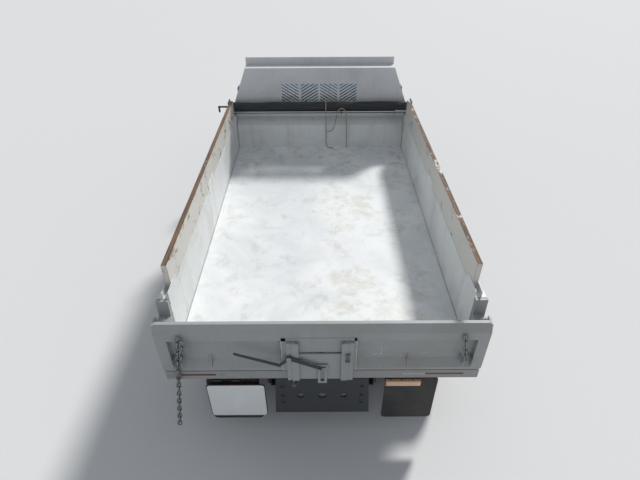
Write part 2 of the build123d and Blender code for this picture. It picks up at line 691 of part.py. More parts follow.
# panels cut from the cab's frame: name, low and high Y, low and high Z
FIREWALL_Y = COWL_Y - WALL
CAB_PANELS = [
    ("cab_floor", CAB_BACK_Y - 50, COWL_Y + 50, CAB_FLOOR_Z - 50, 826),
    ("cab_back_panel", CAB_BACK_Y - 50, CAB_BACK_Y + WALL, 826, 1925),
    ("cab_firewall", FIREWALL_Y, COWL_Y + 50, 826, CAB_BELT_Z + 10),
    ("cab_roof", CAB_BACK_Y - 50, COWL_Y + 50, 1925, 2200),
]
MOUNT_YS = [CAB_BACK_Y + 150, COWL_Y - 240]
STEP_ARM_YS = [CAB_BACK_Y + 260, CAB_BACK_Y + 780]
HOOD_HINGE_Y, HOOD_HINGE_Z = COWL_Y + 12, 1402
HOOD_PIN_RADIUS = 5


def under_floor():
    """Mounts that stand on the frame rails, and the two steps that hang under the doors."""
    for sign in (-1, 1):
        inner, outer = sorted((sign * (RAIL_INNER + 4), sign * (RAIL_OUTER - 4)))
        for y in MOUNT_YS:
            block(inner, outer, y, y + 90, CAB_RAIL_TOP, CAB_FLOOR_Z)
        arm_in, arm_out = sorted((sign * 900, sign * 990))
        for y in STEP_ARM_YS:
            plate_yz([(y, CAB_FLOOR_Z), (y + 40, CAB_FLOOR_Z), (y + 40, 430), (y, 430)], arm_out - 14, arm_out)
            block(arm_in, arm_out, y, y + 40, 560, 575)
            block(arm_in, arm_out, y, y + 40, 430, 445)
        for z in (445, 575):
            step_in, step_out = sorted((sign * 860, sign * 1000))
            block(step_in, step_out, STEP_ARM_YS[0] - 60, STEP_ARM_YS[1] + 100, z, z + 26)


def hood_hinges():
    """Lugs and pins on the cowl that the hood turns on."""
    for sign in (-1, 1):
        for near, far in ((455, 475), (525, 545)):
            inner, outer = sorted((sign * near, sign * far))
            block(inner, outer, COWL_Y - 5, HOOD_HINGE_Y + 9, HOOD_HINGE_Z - 14, HOOD_HINGE_Z + 7)
        inner, outer = sorted((sign * 455, sign * 545))
        rod_x(HOOD_HINGE_Y, HOOD_HINGE_Z, HOOD_PIN_RADIUS, inner, outer)


for name, y0, y1, z0, z1 in CAB_PANELS:
    with BuildPart() as panel:
        add(cab_frame.part)
        block(-1200, 1200, y0, y1, z0, z1, mode=Mode.INTERSECT)
        if name == "cab_floor":
            under_floor()
        if name == "cab_firewall":
            hood_hinges()
    save(panel, name)

with BuildPart() as cab_pillars:
    add(cab_frame.part)
    for name, y0, y1, z0, z1 in CAB_PANELS:
        block(-1200, 1200, y0, y1, z0, z1, mode=Mode.SUBTRACT)
save(cab_pillars, "cab_pillars")

with BuildPart() as cab_glass:
    with BuildSketch(SCREEN_PLANE.offset(20)) as pane:
        with BuildLine():
            Polyline(*screen_outline(1), close=True)
        make_face()
        fillet(pane.vertices(), 58)
    extrude(amount=6)
    plate_xz([(-519, 1451), (519, 1451), (519, 1829), (-519, 1829)], CAB_BACK_Y + 24, CAB_BACK_Y + 30, radius=68)
save(cab_glass, "cab_glass")

with BuildPart() as door_skin:
    cab_solid(0, CAB_BACK_Y, COWL_Y)
    add(cab_room.part, mode=Mode.SUBTRACT)

with BuildPart() as glass_inside:
    cab_solid(30, CAB_BACK_Y, COWL_Y)

with BuildPart() as glass_skin:
    cab_solid(25, CAB_BACK_Y, COWL_Y)
    add(glass_inside.part, mode=Mode.SUBTRACT)

for side_name, sign in SIDES:
    inner, outer = sorted((sign * DOOR_INSIDE_X, sign * 1100))
    with BuildPart() as door:
        add(door_skin.part)
        plate_yz(door_outline(0), inner, outer, mode=Mode.INTERSECT, radius=32)
        plate_yz(door_window(0), inner, outer, mode=Mode.SUBTRACT, radius=40)
    with BuildPart() as door_glass:
        add(glass_skin.part)
        plate_yz(door_window(1), inner, outer, mode=Mode.INTERSECT, radius=39)
    save(door_glass, f"door_glass_{side_name}")
    with BuildPart() as door_and_mirror:
        add(door.part)
        head_in, head_out = sorted((sign * 1075, sign * 1280))
        plate_xz([(head_in, 1290), (head_out, 1290), (head_out, 1580), (head_in, 1580)],
                 DOOR_FRONT_Y - 150, DOOR_FRONT_Y - 60, radius=30)
        arm_in, arm_out = sorted((sign * CAB_HALF, sign * 1110))
        rod_x(DOOR_FRONT_Y - 80, 1370, 14, arm_in, arm_out)
        rod_x(DOOR_FRONT_Y - 80, 1320, 14, arm_in, arm_out)
    save(door_and_mirror, f"door_{side_name}")

# ---------------------------------------------------------------- cab interior
with BuildPart() as seat:
    plate_yz([(700, 900), (1180, 900), (1200, 1060), (760, 1040), (640, 1560), (570, 1560), (640, 1000)],
             -720, 720, radius=15)
    block(-600, 600, 720, 1120, 825, 900)
save(seat, "seat")

with BuildPart() as dashboard:
    plate_yz([(1400, 1130), (1655, 1080), (1669, 1395), (1560, 1400), (1420, 1340)], -850, 850)
    bar_between((-400, 1450, 1210), (-400, 1270, 1290), 28)
    with BuildSketch(Plane(origin=(-400, 1262, 1293.6), x_dir=(1, 0, 0), z_dir=(0, -180, 80))):
        Circle(205)
        Circle(178, mode=Mode.SUBTRACT)
        Rectangle(370, 34)
        Circle(60)
    extrude(amount=22, both=True)
save(dashboard, "dashboard")

# ================================================================ front end
HOOD_HALF = 700
NOSE_Y = BUMPER_Y - 190
SHEET = 14                     # skin of the hood and of the fenders
HOOD_REAR_Y = COWL_Y + 26
HOOD_FRONT_Z = 1186
HOOD_SKIRT = 70


def hood_section(inset, half, mode):
    """Solid under two arcs, which run over the top and down the nose, drawn in by `inset`."""
    rear, front = HOOD_REAR_Y + inset, NOSE_Y - inset
    with BuildSketch(side_plane(-half)) as section:
        with BuildLine():
            crown = ThreePointArc((rear, HOOD_HINGE_Z - inset), (COWL_Y + 750, 1388 - inset),
                                  (front - 260, 1330 - inset))
            nose = ThreePointArc(crown @ 1, (front - 75, 1262 - inset * 0.7), (front, HOOD_FRONT_Z))
            Polyline(nose @ 1, (front, HOOD_FRONT_Z - 2 - inset), (rear, HOOD_HINGE_Z - HOOD_SKIRT - inset),
                     crown @ 0)
        make_face()
    extrude(section.sketch, amount=2 * half, mode=mode)


with BuildPart() as hood:
    hood_section(0, HOOD_HALF, Mode.ADD)
    hood_section(SHEET, HOOD_HALF - SHEET, Mode.SUBTRACT)
    for sign in (-1, 1):
        inner, outer = sorted((sign * 480, sign * 520))
        rod_x(HOOD_HINGE_Y, HOOD_HINGE_Z, 9, inner, outer)
        block(inner, outer, HOOD_HINGE_Y, HOOD_REAR_Y + 4, HOOD_HINGE_Z - 9, HOOD_HINGE_Z)
        rod_x(HOOD_HINGE_Y, HOOD_HINGE_Z, HOOD_PIN_RADIUS + 0.3, inner - 1, outer + 1, mode=Mode.SUBTRACT)
save(hood, "hood")

ARCH_RADIUS = 490
FENDER_INNER = 708
FENDER_OUTER = 1040
CROWN_RADIUS = 60              # rounded outer edge along a fender's top


def fender_outline(inset, drop):
    """(Y, Z) outline of a fender, drawn in by `inset` at its ends and top, and lowered by `drop` below."""
    rear, front = COWL_Y + 8 + inset, NOSE_Y - inset
    return [
        (rear, 1370 - inset), (COWL_Y + 700, 1350 - inset), (NOSE_Y - 260, 1295 - inset), (front, 1150 - inset),
        (front, 620 - drop), (FRONT_AXLE_Y + 560, 620 - drop), (FRONT_AXLE_Y - 620, 560 - drop), (rear, 560 - drop),
    ]


with BuildPart() as fender_room:
    plate_yz(fender_outline(SHEET, 100), FENDER_INNER + SHEET, FENDER_OUTER - SHEET)
    roof_edges = fender_room.edges().group_by(Axis.X)[-1].filter_by(lambda edge: edge.center().Z > 1150)
    fillet(roof_edges, CROWN_RADIUS - SHEET)

with BuildPart() as front_fenders:
    plate_yz(fender_outline(0, 0), FENDER_INNER, FENDER_OUTER)
    roof_edges = front_fenders.edges().group_by(Axis.X)[-1].filter_by(lambda edge: edge.center().Z > 1150)
    fillet(roof_edges, CROWN_RADIUS)
    add(fender_room.part, mode=Mode.SUBTRACT)
    mirror(about=Plane.YZ)
    rod_x(FRONT_AXLE_Y, AXLE_Z, ARCH_RADIUS, -1100, 1100, mode=Mode.SUBTRACT)
    block(-1100, 1100, FRONT_AXLE_Y - ARCH_RADIUS, FRONT_AXLE_Y + ARCH_RADIUS, 300, 640, mode=Mode.SUBTRACT)
    # radiator panel that ties the fenders together and stands on the frame rails
    block(-FENDER_INNER - 2, FENDER_INNER + 2, NOSE_Y - 80, NOSE_Y - 60, CAB_RAIL_TOP, 1180)
    block(-560, 560, NOSE_Y - 90, NOSE_Y - 50, 815, 1135, mode=Mode.SUBTRACT)
    # struts from the frame rails to the fenders' rear ends
    for sign in (-1, 1):
        inner, outer = sorted((sign * RAIL_OUTER, sign * (FENDER_INNER + 2)))
        block(inner, outer, COWL_Y + 30, COWL_Y + 60, 640, 680)
save(front_fenders, "front_fenders")

GRILLE_ROWS = 9
with BuildPart() as grille:
    plate_xz([(-600, 780), (600, 780), (600, 1170), (-600, 1170)], NOSE_Y - 60, NOSE_Y, radius=24)
    block(-560, 560, NOSE_Y - 70, NOSE_Y + 10, 815, 1135, mode=Mode.SUBTRACT)
    for row in range(GRILLE_ROWS):
        z = 838 + row * 33
        plate_yz([(NOSE_Y - 50, z + 12), (NOSE_Y - 12, z), (NOSE_Y - 8, z + 10), (NOSE_Y - 50, z + 20)], -561, 561)
    for x in (-190, 190):
        block(x - 8, x + 8, NOSE_Y - 52, NOSE_Y - 12, 814, 1136)
save(grille, "grille")

with BuildPart() as headlamps:
    for sign in (-1, 1):
        inner, outer = sorted((sign * 608, sign * 702))
        plate_xz([(inner, 830), (outer, 830), (outer, 1140), (inner, 1140)], NOSE_Y - 60, NOSE_Y - 6, radius=22)
save(headlamps, "headlamps")

BUMPER_SWEEP = 90              # how far the bumper's ends stand back from its middle
with BuildPart() as front_bumper:
    with BuildSketch(Plane.XY.offset(480)) as bar:
        with BuildLine():
            ThreePointArc((-1010, BUMPER_Y - BUMPER_SWEEP), (0, BUMPER_Y), (1010, BUMPER_Y - BUMPER_SWEEP))
            Polyline((1010, BUMPER_Y - BUMPER_SWEEP), (1010, RAIL_FRONT_Y), (-1010, RAIL_FRONT_Y),
                     (-1010, BUMPER_Y - BUMPER_SWEEP))
        make_face()
    extrude(bar.sketch, amount=260)
    # hollow behind its face
    with BuildSketch(Plane.XY.offset(495)) as hollow:
        with BuildLine():
            ThreePointArc((-995, BUMPER_Y - BUMPER_SWEEP - 12), (0, BUMPER_Y - 15),
                          (995, BUMPER_Y - BUMPER_SWEEP - 12))
            Polyline((995, BUMPER_Y - BUMPER_SWEEP - 12), (995, RAIL_FRONT_Y - 5), (-995, RAIL_FRONT_Y - 5),
                     (-995, BUMPER_Y - BUMPER_SWEEP - 12))
        make_face()
    extrude(hollow.sketch, amount=230, mode=Mode.SUBTRACT)
    for sign in (-1, 1):
        inner, outer = sorted((sign * (RAIL_INNER + 10), sign * RAIL_OUTER))
        block(inner, outer, RAIL_FRONT_Y, BUMPER_Y - 20, 600, 726)
save(front_bumper, "front_bumper")

# ================================================================ dump body: floor and frame
BED_SILL_BOTTOM = BED_PIVOT_Z
CROSS_TOP = up(-8)
CROSS_BOTTOM = up(-84)

CROSS_COUNT = 12
CROSS_STEP = 305

with BuildPart() as bed_floor:
    block(-FLOOR_HALF, FLOOR_HALF, at(FLOOR_START), at(HEAD_LOWER), CROSS_TOP, FLOOR_Z)
    for index in range(CROSS_COUNT):
        y = at(215 + index * CROSS_STEP)
        block(-FLOOR_HALF, FLOOR_HALF, y, y + 60, CROSS_BOTTOM, CROSS_TOP)
save(bed_floor, "bed_floor")

RUB_INNER = 1119

with BuildPart() as bed_sills:
    for sign in (-1, 1):
        inner, outer = sorted((sign * RAIL_INNER, sign * (RAIL_OUTER - 1)))
        block(inner, outer, at(130), at(3840), BED_SILL_BOTTOM, CROSS_BOTTOM)
    rod_x(at(BED_PIVOT_BEHIND), BED_PIVOT_Z, 22, -480, 480)
    # cross plate and ears over the hoist's eye; the eye's pin is left out, so the rod may drift
    block(-RAIL_INNER, RAIL_INNER, at(EYE_BEHIND - 45), at(EYE_BEHIND + 45), CROSS_BOTTOM - 12, CROSS_BOTTOM)
    for sign in (-1, 1):
        inner, outer = sorted((sign * 52, sign * 68))
        block(inner, outer, at(EYE_BEHIND - 40), at(EYE_BEHIND + 40), EYE_Z - 35, CROSS_BOTTOM - 12)
save(bed_sills, "bed_sills")

RUB_OUTER = 1188
SIDE_HINGE_X, SIDE_HINGE_Z = 1215, up(-75)
SIDE_HINGES = [560, 1180, 1940, 2700, 3390]        # middles of the drop sides' hinges
KNUCKLE_RADIUS = 10
SIDE_PIN_RADIUS = 5
with BuildPart() as bed_rub_rails:
    for sign in (-1, 1):
        inner, outer = sorted((sign * RUB_INNER, sign * RUB_OUTER))
        block(inner, outer, at(POST_END), at(3788), up(-130), up(-72))
        arm_in, arm_out = sorted((sign * (RUB_OUTER - 1), sign * SIDE_HINGE_X))
        for behind in SIDE_HINGES:
            rod_y(sign * SIDE_HINGE_X, SIDE_HINGE_Z, KNUCKLE_RADIUS, at(behind - 30), at(behind + 30))
            block(arm_in, arm_out, at(behind - 30), at(behind + 30), SIDE_HINGE_Z - KNUCKLE_RADIUS, SIDE_HINGE_Z)
            rod_y(sign * SIDE_HINGE_X, SIDE_HINGE_Z, SIDE_PIN_RADIUS, at(behind - 64), at(behind + 64))
save(bed_rub_rails, "bed_rub_rails")

POST_OUTER = 1212
GATE_PIN_Y = at(110)
GATE_PIN_Z = up(325)
with BuildPart() as bed_rear_frame:
    block(-POST_OUTER, POST_OUTER, at(0), at(POST_START + 20), up(APRON_BOTTOM), up(GATE_BOTTOM - 8))
    for sign in (-1, 1):
        inner, outer = sorted((sign * WALL_INNER, sign * POST_OUTER))
        plate_yz([(at(POST_START), up(APRON_BOTTOM)), (at(POST_END), up(APRON_BOTTOM)), (at(POST_END), up(455)),
                  (at(178), up(455)), (at(170), up(318)), (at(POST_START), up(318))], inner, outer)
        pin_in, pin_out = sorted((sign * 1150, sign * 1238))
        rod_x(GATE_PIN_Y, GATE_PIN_Z, 14, pin_in, pin_out)
        # latch arm beside the post: its root on the post, then a bar that leans outward
        root_in, root_out = sorted((sign * (POST_OUTER - 1), sign * 1240))
        block(root_in, root_out, at(142), at(166), up(236), up(286))
        lean = [(1236, 286), (1256, 276), (1262, 90), (1276, -20), (1264, -24), (1250, 86), (1238, 236)]
        plate_xz([(sign * x, up(above)) for x, above in lean], at(142), at(166))
save(bed_rear_frame, "bed_rear_frame")

with BuildPart() as headboard:
    plate_yz([(at(HEAD_LOWER), CROSS_BOTTOM), (at(HEAD_LOWER), up(315)), (at(HEAD_UPPER), up(400)),
              (at(HEAD_UPPER), up(HEAD_TOP)), (at(HEAD_FRONT), up(HEAD_TOP)), (at(HEAD_FRONT), CROSS_BOTTOM)],
             -FLOOR_HALF, FLOOR_HALF)
    for sign in (-1, 1):
        inner, outer = sorted((sign * FLOOR_HALF, sign * 1219))
        block(inner, outer, at(3788), at(HEAD_FRONT), up(-130), up(HEAD_TOP))
save(headboard, "headboard")

SHIELD_TOP = 1030
SHIELD_FOOT_HALF = 1186
SHIELD_TOP_HALF = 962
SHIELD_SHEET = 8
SHIELD_FRONT = 3950
LIP_HEIGHT = 100
PANEL_COUNT = 4                # punched panels, whose slots slant in turn to either side
PANEL_WIDTH = 254
PANELS_START = -520
PANEL_LOW, PANEL_HIGH = 600, 836
SLOT_THICK = 20
SLOT_PITCH = 40
SLOT_MARGIN = 16


def punched_panel(index):
    """Slanted slots of one panel, cut off square at its edges."""
    x0 = PANELS_START + index * PANEL_WIDTH + SLOT_MARGIN
    x1 = x0 + PANEL_WIDTH - 2 * SLOT_MARGIN
    rise = (x1 - x0) * 0.62
    slant = 1 if index % 2 else -1
    with BuildSketch(cross_plane(at(HEAD_UPPER - 4))) as slots:
        for row in range(-4, 7):
            z = up(PANEL_LOW) + row * SLOT_PITCH
            low, high = (z, z + rise) if slant > 0 else (z + rise, z)
            with BuildLine():
                Polyline((x0, low), (x1, high), (x1, high + SLOT_THICK), (x0, low + SLOT_THICK), close=True)
            make_face()
        with Locations(((x0 + x1) / 2, up((PANEL_LOW + PANEL_HIGH) / 2))):
            Rectangle(x1 - x0, PANEL_HIGH - PANEL_LOW, mode=Mode.INTERSECT)
    extrude(slots.sketch, amount=-16, mode=Mode.SUBTRACT)


with BuildPart() as cab_shield:
    foot, top = up(HEAD_TOP), up(SHIELD_TOP)
    plate_xz([(-SHIELD_FOOT_HALF, foot), (SHIELD_FOOT_HALF, foot), (SHIELD_TOP_HALF, top), (-SHIELD_TOP_HALF, top)],
             at(HEAD_UPPER), at(HEAD_UPPER + SHIELD_SHEET))
    for index in range(PANEL_COUNT):
        punched_panel(index)
    block(-SHIELD_TOP_HALF, SHIELD_TOP_HALF, at(HEAD_UPPER), at(SHIELD_FRONT), top, top + SHIELD_SHEET)
    block(-SHIELD_TOP_HALF, SHIELD_TOP_HALF, at(SHIELD_FRONT - SHIELD_SHEET), at(SHIELD_FRONT), top, top + LIP_HEIGHT)
    # flanges folded forward along the slanted sides
    for sign in (-1, 1):
        edge = [(SHIELD_FOOT_HALF, foot), (SHIELD_TOP_HALF, top), (SHIELD_TOP_HALF - SHIELD_SHEET, top),
                (SHIELD_FOOT_HALF - SHIELD_SHEET, foot)]
        plate_xz([(sign * x, z) for x, z in edge], at(HEAD_UPPER), at(HEAD_FRONT))
save(cab_shield, "cab_shield")

ROLL_Y = at(3715)
ROLL_Z = up(562)
ROLL_RADIUS = 62
with BuildPart() as tarp_roll:
    rod_x(ROLL_Y, ROLL_Z, ROLL_RADIUS, -1194, 1194)
save(tarp_roll, "tarp_roll")

BRACKET_INNER, BRACKET_OUTER = 1194, 1206
HOOK_X, HOOK_Z = 282, up(547)
HOOK_RADIUS = 8
with BuildPart() as tarp_housing:
    block(-BRACKET_INNER, BRACKET_INNER, at(3690), at(3786), up(478), up(498))
    for sign in (-1, 1):
        inner, outer = sorted((sign * BRACKET_INNER, sign * BRACKET_OUTER))
        plate_yz([(at(3650), up(478)), (at(3788), up(478)), (at(3788), up(HEAD_TOP)), (at(3862), up(HEAD_TOP)),
                  (at(3862), up(520)), (at(3786), up(640)), (at(3650), up(640))], inner, outer)
    # crank and its turned-down handle
    rod_x(ROLL_Y, ROLL_Z, 12, -1350, -BRACKET_OUTER)
    rod_z(-1338, ROLL_Y, 12, ROLL_Z - 72, ROLL_Z)
    # strap and pin that a tie cord is hung on
    block(HOOK_X - 6, HOOK_X + 6, at(3640), at(3691), up(480), up(490))
    block(HOOK_X - 6, HOOK_X + 6, at(3640), at(3646), up(480), HOOK_Z)
    rod_y(HOOK_X, HOOK_Z, HOOK_RADIUS, at(3628), at(3646))
save(tarp_housing, "tarp_housing")

# ---------------------------------------------------------------- tie cords in front of the headboard
CORD_RADIUS = 6
WRAP_RADIUS = ROLL_RADIUS + CORD_RADIUS + 0.5
# routes: X, distance from the tailgate, height above the floor
LEFT_ROUTE = [
    (74, 3717, 630.5), (75, 3646.5, 630.5), (80, 3646, 90), (86, 3642, 46), (104, 3634, 16), (138, 3622, 7.5),
    (170, 3618, 7),
]
RIGHT_ROUTE = [
    (90, 3638, 242), (143, 3639, 232), (187, 3638, 289), (218, 3638, 444), (232, 3638, 540), (282, 3638, 567),
    (327, 3638, 545), (351, 3638, 443), (362, 3637, 9),
]


def bend_radii(points, first=None):
    """Radius at each corner: 0.45 of the shorter run over the tangent of half the turn."""
    radii = []
    for before, corner, after in zip(points, points[1:], points[2:]):
        arrive, leave = corner - before, after - corner
        radii.append(0.45 * min(arrive.length, leave.length) / tan(radians(arrive.get_angle(leave) / 2)))
    if first:
        radii[0] = first
    return radii


for name, route, first in (("tarp_cord_left", LEFT_ROUTE, WRAP_RADIUS), ("tarp_cord_right", RIGHT_ROUTE, None)):
    points = [Vector(x, at(behind), up(above)) for x, behind, above in route]
    radii = bend_radii(points, first)
    with BuildPart() as cord:
        with BuildLine() as path:
            FilletPolyline(*points, radius=radii)
        with BuildSketch(Plane(origin=points[0], z_dir=points[1] - points[0])):
            Circle(CORD_RADIUS)
        sweep(path=path.line)
    length = sum(edge.length for edge in path.edges())
    print(name, "bends", [round(radius) for radius in radii], "length", round(length),
          "volume over section", round(cord.part.volume / (pi * CORD_RADIUS ** 2)))
    save(cord, name)

# ================================================================ dump body: drop sides
STEEL_SIDE_TOP = 450
SIDE_RAIL = 60                 # width of the wall's top rail
BOARD_INNER = WALL_INNER + 2
BOARD_OUTER = WALL_INNER + 42
BOARD_END = 3600
# pockets that hold a board: start and end from the tailgate
BOARD_POCKETS = [(216, 425), (1768, 2015), (3356, 3602)]
STAKES = 7
STAKE_WIDTH = 70

for side_name, sign in SIDES:
    with BuildPart() as side_wall:
        x0, x1 = sorted((sign * WALL_INNER, sign * (WALL_INNER + 6)))
        block(x0, x1, at(SIDE_START), at(SIDE_END), up(SIDE_BOTTOM), up(STEEL_SIDE_TOP))
        x0, x1 = sorted((sign * WALL_INNER, sign * (WALL_INNER + SIDE_RAIL)))
        block(x0, x1, at(SIDE_START), at(SIDE_END), up(385), up(STEEL_SIDE_TOP))
        x0, x1 = sorted((sign * WALL_INNER, sign * WALL_OUTER))
        block(x0, x1, at(SIDE_START), at(SIDE_END), up(SIDE_BOTTOM), up(20))
        for index in range(STAKES):
            y = at(SIDE_START + index * (SIDE_END - SIDE_START - STAKE_WIDTH) / (STAKES - 1))
            block(x0, x1, y, y + STAKE_WIDTH, up(SIDE_BOTTOM), up(STEEL_SIDE_TOP))
        # cheeks of the board pockets, inside and outside the board
        for start, end in BOARD_POCKETS:
            for near, far, low in ((-3, 0, 395), (-3, 2, STEEL_SIDE_TOP), (42, 48, STEEL_SIDE_TOP)):
                x0, x1 = sorted((sign * (WALL_INNER + near), sign * (WALL_INNER + far)))
                block(x0, x1, at(start), at(end), up(low), up(505))
        # hinge knuckles under the wall
        arm_in, arm_out = sorted((sign * 1200, sign * (SIDE_HINGE_X + KNUCKLE_RADIUS)))
        for behind in SIDE_HINGES:
            for near, far in ((-62, -35), (35, 62)):
                rod_y(sign * SIDE_HINGE_X, SIDE_HINGE_Z, KNUCKLE_RADIUS, at(behind + near), at(behind + far))
                block(arm_in, arm_out, at(behind + near), at(behind + far), SIDE_HINGE_Z, up(SIDE_BOTTOM + 6))
            rod_y(sign * SIDE_HINGE_X, SIDE_HINGE_Z, SIDE_PIN_RADIUS + 0.3, at(behind - 65), at(behind + 65),
                  mode=Mode.SUBTRACT)
    save(side_wall, f"side_wall_{side_name}")
    with BuildPart() as side_board:
        x0, x1 = sorted((sign * BOARD_INNER, sign * BOARD_OUTER))
        block(x0, x1, at(BOARD_START), at(BOARD_END), up(STEEL_SIDE_TOP), up(BOARD_TOP))
    save(side_board, f"side_board_{side_name}")

# ================================================================ tailgate
GATE_HALF = 1219
CHUTE_LEFT = -190
CHUTE_RIGHT = 158
GUIDES = [(-266, -198, 1), (166, 234, -1)]         # X of both sides, way in to the door
LEVER_X, LEVER_Z = -248, up(83)
LEVER_PIN = 12
LINK_X, LINK_Z = -13, up(-36)                      # where the lever takes hold of the door
LINK_PIN = 10
GUSSETS = [-847, 654]
CHAIN_TOPS = [-1037, 1029]
CHAIN_SLOTS = [-1085, 1082]

with BuildPart() as tailgate:
    plate_yz([(at(GATE_THICK), up(336)), (at(58), up(336)), (at(58), up(GATE_TOP)), (at(30), up(GATE_TOP)),
              (at(0), up(302)), (at(0), up(226)), (at(45), up(226)), (at(45), up(-15)), (at(0), up(-85)),
              (at(0), up(GATE_BOTTOM)), (at(GATE_THICK), up(GATE_BOTTOM))], -GATE_HALF, GATE_HALF)
    for sign in (-1, 1):
        inner, outer = sorted((sign * 1136, sign * GATE_HALF))
        block(inner, outer, at(0), at(GATE_THICK), up(GATE_BOTTOM), up(302))
    plate_xz([(-GATE_HALF, up(GATE_BOTTOM)), (GATE_HALF, up(GATE_BOTTOM)), (GATE_HALF, up(GATE_TOP)),
              (-GATE_HALF, up(GATE_TOP))], at(-1), at(GATE_THICK + 1), mode=Mode.INTERSECT, radius=26)
    for sign in (-1, 1):
        ear_in, ear_out = sorted((sign * (GATE_HALF - 1), sign * (GATE_HALF + 12)))
        block(ear_in, ear_out, at(40), at(130), GATE_PIN_Z - 22, GATE_PIN_Z + 22)
    rod_x(GATE_PIN_Y, GATE_PIN_Z, 14.5, -1260, 1260, mode=Mode.SUBTRACT)
    block(CHUTE_LEFT + 20, CHUTE_RIGHT - 20, at(-10), at(GATE_THICK + 10), up(GATE_BOTTOM + 30), up(80),
          mode=Mode.SUBTRACT)
    for x0, x1, way in GUIDES:
        block(x0, x1, at(-25), at(45), up(GATE_BOTTOM), up(226))
        block(x0, x1, at(-25), at(-1), up(-200), up(GATE_BOTTOM))
        # lip that laps over the door's edge
        edge = x1 if way > 0 else x0
        near, far = sorted((edge - way * 30, edge + way * 24))
        block(near, far, at(-30), at(-21), up(-200), up(226))
    for x in GUSSETS:
        plate_yz([(at(0), up(-90)), (at(46), up(-20)), (at(46), up(40)), (at(14), up(-30))], x - 6, x + 6)
    for x in CHAIN_TOPS:
        block(x - 17, x + 17, at(-1), at(6), up(240), up(290))
        block(x - 3, x + 3, at(-28), at(0), up(272), up(286))
    for x in CHAIN_SLOTS:
        for near, far in ((-38, -30), (30, 38)):
            block(x + near, x + far, at(-44), at(46), up(-24), up(28))
    # lever's pin, with its head and the boss behind it
    rod_y(LEVER_X, LEVER_Z, 19, at(-32), at(-24))
    rod_y(LEVER_X, LEVER_Z, LEVER_PIN, at(-52), at(-25))
    rod_y(LEVER_X, LEVER_Z, 19, at(-58), at(-50))
save(tailgate, "tailgate")

with BuildPart() as chute_door:
    block(CHUTE_LEFT, CHUTE_RIGHT, at(-16), at(-6), up(-195), up(98))
    # slotted strap that the lever lifts the door by, on two feet
    plate_xz([(-40, up(-62)), (42, up(-62)), (42, up(-10)), (-40, up(-10))], at(-32), at(-25), radius=8)
    for x in (-34, 16):
        block(x, x + 20, at(-32), at(-25), up(-228), up(-60))
        block(x, x + 20, at(-26), at(-15), up(-180), up(-150))
        block(x, x + 20, at(-26), at(-15), up(-62), up(-50))
    block(-34, 36, at(-32), at(-25), up(-228), up(-208))
    plate_xz([(LINK_X - 14, LINK_Z - 13), (LINK_X + 42, LINK_Z - 13), (LINK_X + 42, LINK_Z + 11),
              (LINK_X - 14, LINK_Z + 11)], at(-33), at(-24), mode=Mode.SUBTRACT, radius=10)
save(chute_door, "chute_door")

with BuildPart() as chute_lever:
    plate_xz([(-651, up(128)), (-319, up(-12)), (LEVER_X, up(62)), (LINK_X, up(-52)), (LINK_X + 10, up(-36)),
              (LINK_X, up(-22)), (LEVER_X, up(104)), (-319, up(16)), (-651, up(148))], at(-45), at(-37))
    rod_y(LEVER_X, LEVER_Z, 22, at(-46), at(-36))
    rod_y(LEVER_X, LEVER_Z, LEVER_PIN + 0.3, at(-60), at(-30), mode=Mode.SUBTRACT)
    rod_y(LINK_X, LINK_Z, LINK_PIN, at(-50), at(-22))
save(chute_lever, "chute_lever")

# ---------------------------------------------------------------- spreader chains
LINK_PITCH = 53
LINK_BAR = 12
LINK_HALF_LENGTH, LINK_HALF_WIDTH = 39, 20
CHAIN_BEHIND = -22
# top X and height, bottom X and height, links
CHAINS = [(-1040, 262, -1222, -812, 21), (1032, 262, 1081, 0, 5)]


def chain_link(middle, way, turned):
    """One flat link at `middle`, long along `way`; every other link is turned on its edge."""
    across = Vector(0, 1, 0) if turned else way.cross(Vector(0, 1, 0))
    outline = [
        (LINK_HALF_LENGTH, 9), (31, LINK_HALF_WIDTH), (-31, LINK_HALF_WIDTH), (-LINK_HALF_LENGTH, 9),
        (-LINK_HALF_LENGTH, -9), (-31, -LINK_HALF_WIDTH), (31, -LINK_HALF_WIDTH), (LINK_HALF_LENGTH, -9),
    ]
    with BuildSketch(Plane(origin=middle, x_dir=way, z_dir=way.cross(across))) as ring:
        with BuildLine():
            Polyline(*outline, close=True)
        make_face()
        Rectangle(2 * (LINK_HALF_LENGTH - LINK_BAR), 2 * (LINK_HALF_WIDTH - LINK_BAR), mode=Mode.SUBTRACT)
    extrude(ring.sketch, amount=LINK_BAR / 2, both=True)


with BuildPart() as gate_chains:
    for top_x, top_z, foot_x, foot_z, count in CHAINS:
        top = Vector(top_x, at(CHAIN_BEHIND), up(top_z))
        way = (Vector(foot_x, at(CHAIN_BEHIND), up(foot_z)) - top).normalized()
        for index in range(count):
            chain_link(top + way * (LINK_PITCH * index), way, index % 2 == 1)
save(gate_chains, "gate_chains")

# ================================================================ hoist
HOIST_RUN = Vector(0, EYE_BEHIND - FOOT_BEHIND, EYE_Z - FOOT_Z)
HOIST_WAY = HOIST_RUN.normalized()


def on_hoist(distance):
    """Point on the hoist's centre line, `distance` from its foot."""
    return Vector(0, at(FOOT_BEHIND), FOOT_Z) + HOIST_WAY * distance


CYLINDER_RADIUS = 65
BORE_RADIUS = 34
ROD_RADIUS = 32
CYLINDER_END = 1150

with BuildPart() as hoist_cylinder:
    bar_between(on_hoist(35), on_hoist(CYLINDER_END), CYLINDER_RADIUS)
    rod_x(at(FOOT_BEHIND), FOOT_Z, 42, -60, 60)
    rod_x(at(FOOT_BEHIND), FOOT_Z, 20.4, -70, 70, mode=Mode.SUBTRACT)
    with BuildSketch(Plane(origin=on_hoist(120), z_dir=HOIST_WAY)):
        Circle(BORE_RADIUS)
    extrude(amount=CYLINDER_END, mode=Mode.SUBTRACT)
save(hoist_cylinder, "hoist_cylinder")

